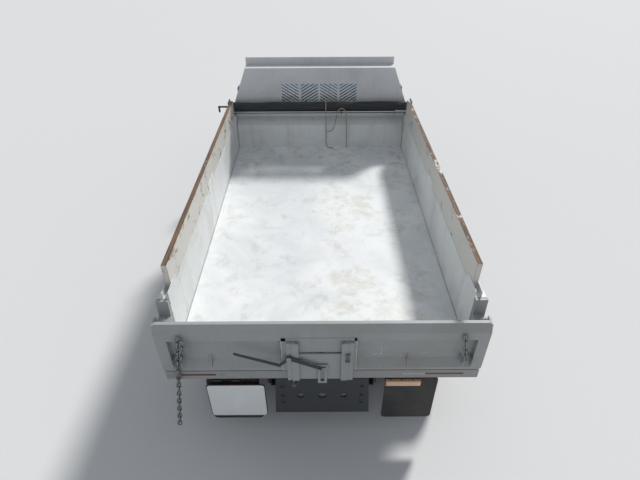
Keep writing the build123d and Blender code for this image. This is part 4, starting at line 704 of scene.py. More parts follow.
# ------------------------------------------------------------------ mesh making
class Maker:
    """Collects mesh forms into one piece."""

    def __init__(self) -> None:
        """Starts an empty mesh."""
        self.mesh = bmesh.new()

    def block(self, low: Point, high: Point) -> None:
        """Adds a block between two corners."""
        corners = [Vector((x, y, z)) for x in (low[0], high[0]) for y in (low[1], high[1])
                   for z in (low[2], high[2])]
        v = [self.mesh.verts.new(c) for c in corners]
        for quad in ((0, 1, 3, 2), (4, 6, 7, 5), (0, 4, 5, 1), (2, 3, 7, 6), (0, 2, 6, 4), (1, 5, 7, 3)):
            self.mesh.faces.new([v[i] for i in quad])

    def turned(self, outline: Sequence[tuple[float, float]], origin: Point, way: Point,
               steps: int = 24) -> None:
        """Adds a turned form.

        Args:
            outline: (along, radius) points; a radius of 0 closes an end.
            origin: where along is 0.
            way: direction of the axis.
            steps: facets round the axis.
        """
        axis = Vector(way).normalized()
        side = axis.orthogonal().normalized()
        other = axis.cross(side)
        rows: list[list[bmesh.types.BMVert]] = []
        for along, radius in outline:
            middle = Vector(origin) + axis * along
            if radius <= 1e-9:
                rows.append([self.mesh.verts.new(middle)])
                continue
            rows.append([self.mesh.verts.new(middle + (side * math.cos(a) + other * math.sin(a)) * radius)
                         for a in (2 * math.pi * i / steps for i in range(steps))])
        for first, second in zip(rows, rows[1:]):
            self._join(first, second, steps)
        for row, backward in ((rows[0], True), (rows[-1], False)):
            if len(row) > 2:
                self.mesh.faces.new(row[::-1] if backward else row)

    def _join(self, first: list, second: list, steps: int) -> None:
        """Faces between two rings, either of which may be a single point."""
        if len(first) == 1 and len(second) == 1:
            return
        for i in range(steps):
            j = (i + 1) % steps
            if len(first) == 1:
                self.mesh.faces.new((first[0], second[i], second[j]))
            elif len(second) == 1:
                self.mesh.faces.new((first[i], second[0], first[j]))
            else:
                self.mesh.faces.new((first[i], second[i], second[j], first[j]))

    def rod(self, start: Point, end: Point, radius: float, steps: int = 12) -> None:
        """Adds a round bar between two points."""
        run = Vector(end) - Vector(start)
        self.turned([(0.0, radius), (run.length, radius)], start, tuple(run), steps)

    def bolt(self, seat: Point, way: Point, size: float = 0.011) -> None:
        """Adds a hexagon bolt head on its washer."""
        self.turned([(0.0, size * 1.25), (size * 0.25, size * 1.25)], seat, way, 16)
        base = Vector(seat) + Vector(way).normalized() * size * 0.25
        self.turned([(0.0, size), (size * 0.8, size), (size, size * 0.82)], tuple(base), way, 6)

    def plate(self, outline: Sequence[tuple[float, float]], axis: int, low: float, high: float) -> None:
        """Adds a plate from its outline.

        Args:
            outline: points on the two axes other than `axis`, in X, Y, Z order.
            axis: the axis across the plate's thickness.
            low: one face.
            high: the other face.
        """
        rings = []
        for place in (low, high):
            ring = []
            for first, second in outline:
                spot = [first, second]
                spot.insert(axis, place)
                ring.append(self.mesh.verts.new(spot))
            rings.append(ring)
        count = len(outline)
        self.mesh.faces.new(rings[0])
        self.mesh.faces.new(rings[1][::-1])
        for i in range(count):
            j = (i + 1) % count
            self.mesh.faces.new((rings[0][i], rings[1][i], rings[1][j], rings[0][j]))

    def swept(self, path: Sequence[Point], radius: float, steps: int = 8) -> None:
        """Adds a round tube through points, mitred at each."""
        spots = [Vector(p) for p in path]
        rows = []
        side = None
        for i, spot in enumerate(spots):
            ahead = (spots[min(i + 1, len(spots) - 1)] - spots[max(i - 1, 0)]).normalized()
            if side is None:
                side = ahead.orthogonal().normalized()
            side = (side - ahead * side.dot(ahead)).normalized()
            other = ahead.cross(side)
            rows.append([self.mesh.verts.new(spot + (side * math.cos(a) + other * math.sin(a)) * radius)
                         for a in (2 * math.pi * k / steps for k in range(steps))])
        for first, second in zip(rows, rows[1:]):
            self._join(first, second, steps)
        self.mesh.faces.new(rows[0][::-1])
        self.mesh.faces.new(rows[-1])

    def link(self, middle: Vector, way: Vector, across: Vector, half_length: float, half_width: float,
             radius: float) -> None:
        """Adds one round-bar chain link.

        Args:
            middle: its middle.
            way: its long direction.
            across: its wide direction.
            half_length: half of its outer length.
            half_width: half of its outer width.
            radius: radius of its bar.
        """
        along, side = way.normalized(), across.normalized()
        upward = along.cross(side)
        bend = half_width - radius
        straight = half_length - half_width
        rows = []
        for centre, first in ((straight, -90), (-straight, 90)):
            for step in range(6):
                angle = math.radians(first + step * 36)
                out = along * math.cos(angle) + side * math.sin(angle)
                spot = middle + along * centre + out * bend
                rows.append([self.mesh.verts.new(spot + (out * math.cos(a) + upward * math.sin(a)) * radius)
                             for a in (2 * math.pi * k / 8 for k in range(8))])
        for here, after in zip(rows, rows[1:] + rows[:1]):
            self._join(here, after, 8)

    def crowned(self, low: Point, high: Point, power: float = 7.0, channels: int = 0) -> None:
        """Adds a crowned pad whose edges are round and whose top has sewn channels.

        Args:
            low: its lowest corner.
            high: its highest corner.
            power: how square it is.
            channels: sewn lines across its width.
        """
        made = bmesh.ops.create_cube(self.mesh, size=2.0)
        edges = list({e for v in made["verts"] for e in v.link_edges})
        bmesh.ops.subdivide_edges(self.mesh, edges=edges, cuts=17, use_grid_fill=True)
        middle = (Vector(low) + Vector(high)) / 2
        half = (Vector(high) - Vector(low)) / 2
        fresh = [v for v in self.mesh.verts if not v.tag]
        for vert in fresh:
            spot = vert.co.copy()
            reach = sum(abs(c) ** power for c in spot) ** (-1 / power)
            pull = 1.0 - 0.03 * (1 - abs(spot.x) ** 4)
            groove = 0.0
            if channels:
                phase = (spot.x + 1) / 2 * channels
                if 0 < round(phase) < channels:
                    groove = 0.09 * math.exp(-((phase - round(phase)) * 9) ** 2)
            size = Vector((1.0, pull - groove, pull - groove))
            vert.co = middle + Vector(half[i] * spot[i] * reach * size[i] for i in range(3))
            vert.tag = True

    def piece(self, name: str, finish: Ink, body: str, bevel: float = 0.0,
              smooth: float = 35.0) -> bpy.types.Object:
        """Turns the collected forms into a piece that rides on a body.

        Args:
            name: the piece's name.
            finish: its finish.
            body: the body that it rides on.
            bevel: width of its edge rounding in metres, or 0.
            smooth: faces meeting below this angle in degrees shade as one.

        Returns:
            The new object.
        """
        bmesh.ops.recalc_face_normals(self.mesh, faces=self.mesh.faces)
        data = bpy.data.meshes.new(name)
        self.mesh.to_mesh(data)
        self.mesh.free()
        thing = bpy.data.objects.new(name, data)
        bpy.context.scene.collection.objects.link(thing)
        data.materials.append(finish.value.material())
        if bevel:
            rounding = thing.modifiers.new("rounding", "BEVEL")
            rounding.width = bevel
            rounding.segments = 2
            rounding.limit_method = "ANGLE"
            rounding.angle_limit = math.radians(35)
        data.polygons.foreach_set("use_smooth", [True] * len(data.polygons))
        data.set_sharp_from_angle(angle=math.radians(smooth))
        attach(thing, body)
        return thing


# ------------------------------------------------------------------ tyres and wheels
@dataclass
class RoadTyre:
    """One tyre with ribs, shoulder lugs and moulded sidewall rings."""

    centre: float
    axle_y: float
    radius: float = 0.405
    half_width: float = 0.113
    rim_radius: float = 0.249
    lugs: int = 46
    groove: float = 0.011
    grooves: tuple[float, ...] = (0.036, 0.072)

    def profile(self) -> list[tuple[float, float]]:
        """Half profile from the tread's middle to the bead: (across, radius)."""
        top = self.radius - 0.0015
        points = []
        for middle in self.grooves:
            points += [(middle - 0.005, top), (middle - 0.0035, top - self.groove),
                       (middle + 0.0035, top - self.groove), (middle + 0.005, top - 0.0006)]
        points += [(0.088, self.radius - 0.006), (0.1, self.radius - 0.018), (0.1085, self.radius - 0.040),
                   (0.1125, 0.345), (0.1128, 0.330), (0.1118, 0.326), (0.1118, 0.322), (0.1125, 0.318),
                   (0.110, 0.296), (0.106, 0.284), (0.1045, 0.283), (0.1045, 0.279), (0.105, 0.278),
                   (0.099, 0.264), (0.0945, 0.2625), (0.0945, self.rim_radius)]
        return points

    def add_to(self, maker: Maker) -> None:
        """Adds the tyre to a piece.

        Args:
            maker: the piece that collects it.
        """
        half = self.profile()
        full = [(-a, r) for a, r in reversed(half)] + [(a, r) for a, r in half]
        steps = self.lugs * 4
        verts = []
        origin = Vector((self.centre, self.axle_y, AXLE_Z))
        for across, radius in full:
            row = []
            for i in range(steps):
                angle = 2 * math.pi * i / steps
                r = radius
                if 0.086 < abs(across) < 0.111 and radius > 0.35:
                    phase = i % 4 if across > 0 else (i + 2) % 4
                    r = radius - (0.011 if phase in (0, 1) else 0.0)
                a = across
                if abs(a) < 0.078:
                    a += 0.0022 * math.sin(self.lugs * angle)
                spot = Vector((a, r * math.cos(angle), r * math.sin(angle)))
                row.append(maker.mesh.verts.new(origin + spot))
            verts.append(row)
        for first, second in list(zip(verts, verts[1:])) + [(verts[-1], verts[0])]:
            for i in range(steps):
                j = (i + 1) % steps
                maker.mesh.faces.new((first[i], second[i], second[j], first[j]))


# (along, radius) points of a wheel nut on its washer, with the stud's end
NUT_PROFILE = ((0.0, 0.021), (0.004, 0.021), (0.004, 0.0165), (0.024, 0.0165), (0.027, 0.013),
               (0.027, 0.010), (0.036, 0.009), (0.037, 0.0))
CAP_BOLT_PROFILE = ((0.0, 0.007), (0.005, 0.007), (0.006, 0.0))


@dataclass
class WheelStation:
    """Tyres, nuts and valve of one wheel station."""

    side: str
    sign: int
    front: bool
    tyre_centres: tuple[float, ...] = ()
    nuts: int = 10
    nut_circle: float = 0.1125
    face: float = 0.985
    cap: float = 1.035
    cap_bolts: int = 6
    cap_circle: float = 0.048

    @property
    def axle_y(self) -> float:
        """Y of this station's axle."""
        return FRONT_AXLE_Y if self.front else REAR_AXLE_Y

    @property
    def body(self) -> str:
        """The body that the station turns with."""
        return f"wheel_{'front' if self.front else 'rear'}_{self.side}"

    def build(self) -> int:
        """Builds the station's pieces.

        Returns:
            How many pieces were made.
        """
        place = "front" if self.front else "rear"
        maker = Maker()
        for centre in self.tyre_centres:
            RoadTyre(centre * self.sign, self.axle_y).add_to(maker)
        tread = maker.piece(f"{place}_tread_{self.side}", Ink.TYRE, self.body, smooth=32.0)
        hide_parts(f"{place}_{'tyre' if self.front else 'tyres'}_{self.side}")
        trim = Maker()
        self.add_nuts(trim)
        self.add_valve(trim)
        nuts = trim.piece(f"{place}_nuts_{self.side}", Ink.STEEL, self.body)
        return 2

    def add_nuts(self, maker: Maker) -> None:
        """Adds the ring of wheel nuts and the hub cap's bolts."""
        way = (float(self.sign), 0.0, 0.0)
        for i in range(self.nuts):
            angle = 2 * math.pi * (i + 0.5) / self.nuts
            seat = (self.face * self.sign, self.axle_y + self.nut_circle * math.cos(angle),
                    AXLE_Z + self.nut_circle * math.sin(angle))
            maker.turned(NUT_PROFILE, seat, way, 12)
        for i in range(self.cap_bolts):
            angle = 2 * math.pi * i / self.cap_bolts
            seat = (self.cap * self.sign, self.axle_y + self.cap_circle * math.cos(angle),
                    AXLE_Z + self.cap_circle * math.sin(angle))
            maker.turned(CAP_BOLT_PROFILE, seat, way, 6)

    def add_valve(self, maker: Maker) -> None:
        """Adds the tyre valve through a hand hole."""
        foot = Vector((self.face * self.sign - 0.02 * self.sign, self.axle_y + 0.19, AXLE_Z))
        maker.swept([tuple(foot), tuple(foot + Vector((0.03 * self.sign, -0.012, 0))),
                     tuple(foot + Vector((0.06 * self.sign, -0.018, 0)))], 0.004, 8)


# ------------------------------------------------------------------ tailgate's dress
@dataclass
class SpreaderChain:
    """One chain of round-bar links down the tailgate."""

    top: tuple[float, float]
    foot: tuple[float, float]
    count: int
    behind: float = -0.022
    pitch: float = 0.053
    half_length: float = 0.039
    half_width: float = 0.02
    bar: float = 0.006

    def add_to(self, maker: Maker) -> None:
        """Adds the chain's links to a piece.

        Args:
            maker: the piece that collects them.
        """
        start = Vector((self.top[0], at(self.behind), up(self.top[1])))
        way = (Vector((self.foot[0], at(self.behind), up(self.foot[1]))) - start).normalized()
        back = Vector((0.0, 1.0, 0.0))
        for index in range(self.count):
            across = back if index % 2 else way.cross(back)
            maker.link(start + way * self.pitch * index, way, across, self.half_length, self.half_width,
                       self.bar)


@dataclass
class GateDress:
    """What is bolted, welded and taped to the tailgate and its frame."""

    chains: tuple[SpreaderChain, ...] = (
        SpreaderChain((-1.040, 0.262), (-1.222, -0.812), 21),
        SpreaderChain((1.032, 0.262), (1.081, 0.0), 5),
        SpreaderChain((-1.012, 0.232), (-1.052, 0.02), 4, behind=-0.036),
    )
    # chute frame: outer and inner sides, foot, underside of its head, top
    frame_left: float = -0.302
    frame_left_inner: float = -0.266
    frame_right: float = 0.255
    frame_right_inner: float = 0.234
    frame_foot: float = -0.109
    frame_head: float = 0.228
    frame_top: float = 0.259
    frame_proud: float = -0.004
    frame_back: float = 0.046
    # weld beads: start and end as across, ahead of the gate's face, over the floor
    weld_runs: tuple[tuple[Point, Point], ...] = (
        ((0.449, 0.0448, 0.110), (0.449, 0.0448, 0.026)),
        ((0.449, 0.0448, 0.026), (0.383, 0.0448, 0.023)),
        ((0.737, 0.0448, 0.030), (0.803, 0.0448, 0.046)),
        ((-0.302, -0.004, 0.226), (-0.302, -0.004, -0.1)),
        ((0.255, -0.004, 0.226), (0.255, -0.004, -0.1)),
    )
    weld_radius: float = 0.0026
    weld_wander: float = 0.0007
    # the door's lock spring
    spring_x: float = 0.189
    spring_at: float = -0.0405
    spring_radius: float = 0.009
    spring_foot: float = 0.052
    spring_points: int = 46
    # stud under the left guide, and the chain brackets' middles
    stud_x: float = -0.223
    stud_at: float = -0.013
    brackets: tuple[float, float] = (-1.037, 1.029)
    # tape on the apron: start, end, finish
    tapes: tuple[tuple[float, float, Ink], ...] = (
        (-1.095, -0.824, Ink.TAPE_RED), (-0.824, -0.631, Ink.TAPE_WHITE),
        (0.620, 0.799, Ink.TAPE_WHITE), (0.799, 1.095, Ink.TAPE_RED),
    )

    def build(self) -> int:
        """Builds the dress.

        Returns:
            How many pieces were made.
        """
        maker = Maker()
        for chain in self.chains:
            chain.add_to(maker)
        chains = maker.piece("spreader_chains", Ink.CHAIN, "tailgate", smooth=60.0)
        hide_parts("gate_chains")
        self.add_frame()
        self.add_welds()
        self.add_fittings()
        for index, (x0, x1, finish) in enumerate(self.tapes):
            tape = Maker()
            tape.block((x0, at(-0.0008), up(-0.169)), (x1, at(0.001), up(-0.150)))
            strip = tape.piece(f"marker_tape_{index}", finish, "bed")
        return 4 + len(self.tapes)

    def add_frame(self) -> None:
        """Adds the raised frame round the chute and the plate over its door."""
        maker = Maker()
        for x0, x1 in ((self.frame_left, self.frame_left_inner), (self.frame_right_inner, self.frame_right)):
            maker.block((x0, at(self.frame_proud), up(self.frame_foot)),
                        (x1, at(self.frame_back), up(self.frame_top)))
        maker.block((self.frame_left, at(self.frame_proud), up(self.frame_head)),
                    (self.frame_right, at(0.001), up(self.frame_top)))
        maker.block((-0.198, at(-0.002), up(0.104)), (0.166, at(0.004), up(self.frame_head)))
        frame = maker.piece("chute_frame", Ink.GATE_GRIME_AND_SHADE, "tailgate", bevel=0.0015)

    def add_welds(self) -> None:
        """Adds weld beads along the guides and where a bracket was cut away."""
        rng = random.Random(7)
        maker = Maker()
        for start, end in self.weld_runs:
            first = Vector((start[0], at(start[1]), up(start[2])))
            last = Vector((end[0], at(end[1]), up(end[2])))
            steps = max(4, int((last - first).length / 0.006))
            path = []
            for i in range(steps + 1):
                wander = Vector([rng.uniform(-self.weld_wander, self.weld_wander) for _ in range(3)])
                path.append(tuple(first.lerp(last, i / steps) + wander))
            maker.swept(path, self.weld_radius, 6)
        welds = maker.piece("gate_welds", Ink.SIDES, "tailgate", smooth=60.0)

    def add_fittings(self) -> None:
        """Adds the door's lock spring, the nut under the left guide, chain shackles and pins."""
        maker = Maker()
        middle = at(self.spring_at)
        spring = [(self.spring_x + self.spring_radius * math.cos(i * 0.7),
                   middle + self.spring_radius * math.sin(i * 0.7), up(self.spring_foot + i * 0.0011))
                  for i in range(self.spring_points)]
        maker.swept(spring, 0.0024, 6)
        maker.rod((self.spring_x, middle, up(0.040)), (self.spring_x, middle, up(0.116)), 0.0045)
        maker.block((0.172, at(-0.050), up(0.108)), (0.206, at(-0.028), up(0.118)))
        maker.block((0.172, at(-0.050), up(0.038)), (0.206, at(-0.028), up(0.046)))
        stud_y = at(self.stud_at)
        maker.rod((self.stud_x, stud_y, up(-0.201)), (self.stud_x, stud_y, up(-0.292)), 0.010)
        maker.bolt((self.stud_x, stud_y, up(-0.244)), (0.0, 0.0, -1.0), 0.022)
        for x in self.brackets:
            maker.rod((x - 0.014, at(-0.020), up(0.279)), (x + 0.014, at(-0.020), up(0.279)), 0.006)
            for z in (0.248, 0.262):
                maker.bolt((x, at(-0.001), up(z)), (0.0, -1.0, 0.0), 0.005)
        maker.bolt((-0.248, at(-0.0575), up(0.083)), (0.0, -1.0, 0.0), 0.001)
        fittings = maker.piece("gate_fittings", Ink.CHAIN, "tailgate", bevel=0.0006)


@dataclass
class RearDress:
    """The blank plate on the left flap, its arms, and bolts of the flaps and the hitch plate."""

    plate_low: tuple[float, float] = (-0.943, 0.362)
    plate_high: tuple[float, float] = (-0.475, 0.780)
    plate_at: float = 0.048
    corner: float = 0.026

    def outline(self, grow: float) -> list[tuple[float, float]]:
        """Rounded outline of the plate, grown by `grow`."""
        x0, z0 = self.plate_low[0] - grow, self.plate_low[1] - grow
        x1, z1 = self.plate_high[0] + grow, self.plate_high[1] + grow
        points = []
        for cx, cz, first in ((x1, z1, 0), (x0, z1, 90), (x0, z0, 180), (x1, z0, 270)):
            inward_x = self.corner if cx == x0 else -self.corner
            inward_z = self.corner if cz == z0 else -self.corner
            for step in range(7):
                angle = math.radians(first + step * 15)
                points.append((cx + inward_x + self.corner * math.cos(angle),
                               cz + inward_z + self.corner * math.sin(angle)))
        return points

    def build(self) -> int:
        """Builds the pieces.

        Returns:
            How many pieces were made.
        """
        face = Maker()
        face.plate(self.outline(0.0), 1, at(self.plate_at), at(self.plate_at + 0.003))
        face.piece("blank_plate", Ink.PLATE, "chassis", bevel=0.001)
        maker = Maker()
        maker.plate(self.outline(0.007), 1, at(self.plate_at + 0.003), at(self.plate_at + 0.010))
        for x in (-0.87, -0.55):
            maker.block((x - 0.012, at(self.plate_at + 0.009), 0.62), (x + 0.012, at(0.088), 0.65))
        for x in (-0.86, -0.70):
            maker.block((x - 0.03, at(0.070), 0.800), (x + 0.03, at(0.100), 0.826))
        maker.piece("plate_carrier", Ink.TRIM, "chassis", bevel=0.001)
        bolts = Maker()
        for sign in (-1, 1):
            for share in range(5):
                bolts.bolt((sign * (0.56 + share * 0.09), at(0.088), 0.802), (0.0, -1.0, 0.0), 0.007)
            for z in (0.50, 0.60, 0.72):
                bolts.bolt((sign * 0.33, at(0.075), z), (0.0, -1.0, 0.0), 0.012)
        bolts.piece("rear_bolts", Ink.BRACKET, "chassis")
        return 3


# ------------------------------------------------------------------ tarp and seat
@dataclass
class WoundTarp:
    """The mesh tarp wound on its roller, with its hem bar and end caps."""

    half: float = 1.19
    axis_at: float = 3.715
    axis_up: float = 0.562
    radius: float = 0.0615
    points_along: int = 260
    points_around: int = 56
    hem_at: float = 3.668
    hem_up: float = 0.505
    hem_radius: float = 0.0065

    def ripple(self, share: float, angle: float) -> float:
        """Radius of the wound cloth at a place along it and round it."""
        folds = 0.0035 * math.sin(3 * angle + 9 * share) + 0.0022 * math.sin(7 * angle - 31 * share)
        lumps = 0.0025 * math.sin(23 * share + 1.3) + 0.0012 * math.sin(61 * share + angle)
        step = 0.004 if (angle + 1.1 * math.sin(5 * share)) % (2 * math.pi) < 0.35 else 0.0
        return min(self.radius - 0.006 + folds + lumps + step, self.radius)

    def build(self) -> int:
        """Builds the roll and its bar.

        Returns:
            How many pieces were made.
        """
        maker = Maker()
        along, around = self.points_along, self.points_around
        rows = []
        for i in range(along + 1):
            share = i / along
            x = -self.half + 2 * self.half * share
            row = []
            for k in range(around):
                angle = 2 * math.pi * k / around
                r = self.ripple(share, angle)
                row.append(maker.mesh.verts.new((x, at(self.axis_at) + r * math.cos(angle),
                                                 up(self.axis_up) + r * math.sin(angle))))
            rows.append(row)
        for first, second in zip(rows, rows[1:]):
            for k in range(around):
                j = (k + 1) % around
                maker.mesh.faces.new((first[k], first[j], second[j], second[k]))
        for row, sign in ((rows[0], -1), (rows[-1], 1)):
            self.close_end(maker, row, sign)
        roll = maker.piece("wound_tarp", Ink.TARP, "bed", smooth=70.0)
        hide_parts("tarp_roll")
        hem = Maker()
        hem.rod((-self.half + 0.01, at(self.hem_at), up(self.hem_up)),
                (self.half - 0.01, at(self.hem_at), up(self.hem_up)), self.hem_radius)
        hem.block((0.994, at(3.655), up(0.500)), (1.180, at(3.661), up(0.528)))
        hem.rod((1.150, at(3.665), up(0.600)), (1.188, at(3.690), up(0.612)), 0.009)
        hem.piece("tarp_hem_bar", Ink.ALUMINIUM, "bed", bevel=0.001)
        return 2

    def close_end(self, maker: Maker, rim: list, sign: int) -> None:
        """Closes one end of the roll with the wound edges of the cloth.

        Args:
            maker: the piece that collects it.
            rim: the roll's last ring.
            sign: which end, -1 or 1.
        """
        previous = rim
        x = rim[0].co.x
        for index, share in enumerate((0.9, 0.88, 0.76, 0.74, 0.62, 0.60, 0.48, 0.46, 0.34)):
            depth = 0.003 if index % 4 in (1, 2) else 0.0
            ring = []
            for k, vert in enumerate(rim):
                offset = vert.co - Vector((x, at(self.axis_at), up(self.axis_up)))
                twist = share - 0.06 * k / len(rim)
                ring.append(maker.mesh.verts.new((x - sign * depth, at(self.axis_at) + offset.y * twist,
                                                  up(self.axis_up) + offset.z * twist)))
            for k in range(len(rim)):
                j = (k + 1) % len(rim)
                maker.mesh.faces.new((previous[k], previous[j], ring[j], ring[k]))
            previous = ring
        maker.mesh.faces.new(previous)


@dataclass
class BenchSeat:
    """The cab's seat: driver's and passengers' cushions with backs, on a plinth."""

    # across: start and end of each place
    places: tuple[tuple[float, float], ...] = ((-0.70, -0.20), (-0.18, 0.70))
    channels: tuple[int, ...] = (5, 8)
    squareness: float = 6.0
    # front to back and up: the cushions' range, and the backs' hinge line and half thickness
    cushion_y: tuple[float, float] = (0.72, 1.185)
    cushion_z: tuple[float, float] = (0.905, 1.052)
    back_half: float = 0.062
    back_y: float = 0.70
    back_z: tuple[float, float] = (1.00, 1.545)
    back_lean: float = 10.0

    def build(self) -> int:
        """Builds the cushions, the backs and the plinth.

        Returns:
            How many pieces were made.
        """
        made = []
        for index, ((x0, x1), channels) in enumerate(zip(self.places, self.channels)):
            pad = Maker()
            pad.crowned((x0, self.cushion_y[0], self.cushion_z[0]),
                        (x1, self.cushion_y[1], self.cushion_z[1]), self.squareness, channels)
            made.append(pad.piece(f"seat_cushion_{index}", Ink.SEAT, "chassis", smooth=80.0))
            back = Maker()
            back.crowned((x0 + 0.01, -self.back_half, self.back_z[0]),
                         (x1 - 0.01, self.back_half, self.back_z[1]), self.squareness, channels)
            lean = (Matrix.Translation((0.0, self.back_y, self.back_z[0]))
                    @ Matrix.Rotation(math.radians(self.back_lean), 4, "X")
                    @ Matrix.Translation((0.0, 0.0, -self.back_z[0])))
            bmesh.ops.transform(back.mesh, matrix=lean, verts=back.mesh.verts)
            made.append(back.piece(f"seat_back_{index}", Ink.SEAT, "chassis", smooth=80.0))
        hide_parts("seat")
        plinth = Maker()
        plinth.block((-0.60, 0.74, 0.828), (0.60, 1.10, 0.912))
        plinth.piece("seat_plinth", Ink.TRIM, "chassis", bevel=0.004)
        return len(made) + 1


# ------------------------------------------------------------------ tie cords
@dataclass
class TieCord:
    """A thin tie cord in front of the headboard: a smooth curve through its route's points."""

    side: str
    points: tuple[Point, ...]
    length: float
    diameter: float = 0.012

    def build(self) -> int:
        """Builds the cord and the knot at its loose end.

        Returns:
            How many pieces were made.
        """
        name = f"tie_cord_{self.side}"
        data = bpy.data.curves.new(name, "CURVE")
        data.dimensions = "3D"
        data.bevel_depth = self.diameter / 2
        data.bevel_resolution = 2
        data.resolution_u = 8
        spline = data.splines.new("NURBS")
        spline.points.add(len(self.points) - 1)
        for point, (across, behind, above) in zip(spline.points, self.points):
            point.co = (across, at(behind), up(above), 1.0)
        spline.order_u = 3
        spline.use_endpoint_u = True
        cord = bpy.data.objects.new(name, data)
        bpy.context.scene.collection.objects.link(cord)
        data.materials.append(Ink.CORD.value.material())
        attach(cord, "bed")
        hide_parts(f"tarp_cord_{self.side}")
        knot = self.add_knot()
        return 2

    def add_knot(self) -> bpy.types.Object:
        """Adds the overhand knot at the cord's loose end."""
        across, behind, above = self.points[-1]
        middle = Vector((across, at(behind), up(above)))
        maker = Maker()
        reach = self.diameter * 0.62
        for lean in (-0.9, 0.0, 0.9):
            axis = Vector((math.cos(lean), math.sin(lean), 0.3))
            strand = [(-reach, reach * 0.55), (-reach * 0.5, reach), (reach * 0.5, reach),
                      (reach, reach * 0.55)]
            maker.turned(strand, tuple(middle), tuple(axis), 10)
        knot = maker.piece(f"tie_knot_{self.side}", Ink.CORD, "bed", smooth=80.0)
        return knot


# routes: across, ahead of the tailgate, over the floor
LEFT_ROUTE = (
    (0.074, 3.717, 0.6305), (0.075, 3.6465, 0.6305), (0.0751, 3.6463, 0.560), (0.080, 3.646, 0.134),
    (0.081, 3.6462, 0.090), (0.086, 3.642, 0.046), (0.104, 3.634, 0.016), (0.138, 3.622, 0.0075),
    (0.170, 3.618, 0.007),
)
RIGHT_ROUTE = (
    (0.090, 3.638, 0.242), (0.143, 3.639, 0.232), (0.187, 3.638, 0.289), (0.218, 3.638, 0.444),
    (0.232, 3.638, 0.540), (0.282, 3.638, 0.567), (0.327, 3.638, 0.545), (0.351, 3.638, 0.443),
    (0.354, 3.6379, 0.338), (0.362, 3.637, 0.009),
)


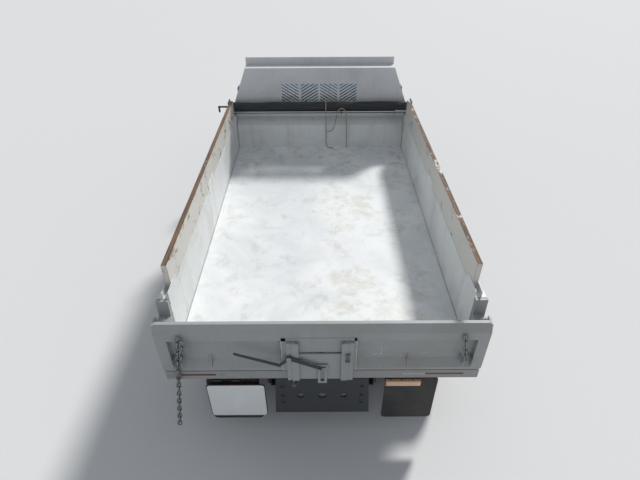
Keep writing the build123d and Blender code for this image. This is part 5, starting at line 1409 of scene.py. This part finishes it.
# ------------------------------------------------------------------ stage and camera
@dataclass
class Studio:
    """Camera, soft lights, pale floor and backdrop."""

    camera_place: Point = (-0.0148, -5.6913, 3.9797)
    pitch_down: float = 37.044
    yaw: float = 0.057
    roll: float = -0.278
    lens: float = 25.933
    floor_tone: Colour = paint_of("DCDCDC")
    floor_reach: float = 60.0
    key_strength: float = 3.1
    key_angle: float = 8.0
    key_toward: Point = (0.66, 1.15, 1.15)
    sky_tone: Colour = (0.86, 0.92, 1.0, 1.0)
    sky_strength: float = 0.42

    def set_camera(self) -> None:
        """Places the camera behind and above the truck."""
        data = bpy.data.cameras.new("camera")
        data.sensor_width = 36.0
        data.lens = self.lens
        data.clip_end = 200.0
        camera = bpy.data.objects.new("camera", data)
        bpy.context.scene.collection.objects.link(camera)
        turn = (Matrix.Rotation(math.radians(-self.yaw), 4, "Z")
                @ Matrix.Rotation(math.radians(90 - self.pitch_down), 4, "X")
                @ Matrix.Rotation(math.radians(self.roll), 4, "Z"))
        camera.matrix_world = Matrix.Translation(self.camera_place) @ turn
        bpy.context.scene.camera = camera

    def set_lights(self) -> None:
        """Adds a broad key from ahead and right, and a soft fill from all round."""
        key = bpy.data.lights.new("key", "SUN")
        key.energy = self.key_strength
        key.angle = math.radians(self.key_angle)
        key.color = (1.0, 0.985, 0.96)
        lamp = bpy.data.objects.new("key", key)
        bpy.context.scene.collection.objects.link(lamp)
        toward = Vector(self.key_toward).normalized()
        lamp.rotation_euler = toward.to_track_quat("Z", "Y").to_euler()
        world = bpy.data.worlds.new("studio")
        bpy.context.scene.world = world
        world.use_nodes = True
        tree = world.node_tree
        tree.nodes.clear()
        soft = tree.nodes.new("ShaderNodeBackground")
        soft.inputs[0].default_value = self.sky_tone
        soft.inputs[1].default_value = self.sky_strength
        seen = tree.nodes.new("ShaderNodeBackground")
        seen.inputs[0].default_value = self.floor_tone
        seen.inputs[1].default_value = 1.0
        path = tree.nodes.new("ShaderNodeLightPath")
        mix = tree.nodes.new("ShaderNodeMixShader")
        out = tree.nodes.new("ShaderNodeOutputWorld")
        glossy = tree.nodes.new("ShaderNodeMath")
        clear = tree.nodes.new("ShaderNodeMath")
        for node in (glossy, clear):
            node.operation = "MAXIMUM"
        tree.links.new(path.outputs["Is Camera Ray"], glossy.inputs[0])
        tree.links.new(path.outputs["Is Glossy Ray"], glossy.inputs[1])
        tree.links.new(glossy.outputs[0], clear.inputs[0])
        tree.links.new(path.outputs["Is Transmission Ray"], clear.inputs[1])
        tree.links.new(clear.outputs[0], mix.inputs[0])
        tree.links.new(soft.outputs[0], mix.inputs[1])
        tree.links.new(seen.outputs[0], mix.inputs[2])
        tree.links.new(mix.outputs[0], out.inputs[0])

    def set_floor(self) -> None:
        """Adds the pale floor, level with the ground."""
        mesh = bpy.data.meshes.new("studio_floor")
        reach = self.floor_reach
        mesh.from_pydata([(-reach, -reach, 0), (reach, -reach, 0), (reach, reach, 0), (-reach, reach, 0)], [],
                         [(0, 1, 2, 3)])
        floor = bpy.data.objects.new("studio_floor", mesh)
        bpy.context.scene.collection.objects.link(floor)
        material = bpy.data.materials.new("studio_floor")
        graph = Graph(material)
        graph.set(Base_Color=self.floor_tone, Roughness=0.85, Specular_IOR_Level=0.1)
        mesh.materials.append(material)

    def build(self) -> int:
        """Builds the studio.

        Returns:
            How many things it placed.
        """
        self.set_camera()
        self.set_lights()
        self.set_floor()
        bpy.context.scene.view_settings.view_transform = "Standard"
        return 3


def dress_nodes(frame: dict) -> int:
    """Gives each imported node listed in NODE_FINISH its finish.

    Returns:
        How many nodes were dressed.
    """
    dressed = 0
    for finish, names in NODE_FINISH.items():
        for name in names:
            node = frame["nodes"].get(name)
            if node is None:
                continue
            for slot in node.material_slots:
                slot.material = finish.value.material()
            dressed += 1
    return dressed


def main() -> None:
    """Builds the truck's looks in order."""
    logging.basicConfig(level=logging.INFO, format="%(message)s")
    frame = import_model()
    LOG.info("studio: %d", Studio().build())
    LOG.info("nodes dressed: %d of %d", dress_nodes(frame), len(frame["nodes"]))
    stations = [WheelStation(side, sign, True, (0.94,), face=0.985, cap=1.035)
                for side, sign in (("left", -1), ("right", 1))]
    stations += [WheelStation(side, sign, False, (1.0795, 0.7765), face=0.94, cap=1.048)
                 for side, sign in (("left", -1), ("right", 1))]
    for station in stations:
        LOG.info("%s: %d", station.body, station.build())
    for cord in (TieCord("left", LEFT_ROUTE, 0.729), TieCord("right", RIGHT_ROUTE, 1.010)):
        LOG.info("tie cord %s: %d", cord.side, cord.build())
    for dress in (GateDress(), RearDress(), WoundTarp(), BenchSeat()):
        LOG.info("%s: %d", type(dress).__name__, dress.build())


if __name__ == "__main__":
    main()
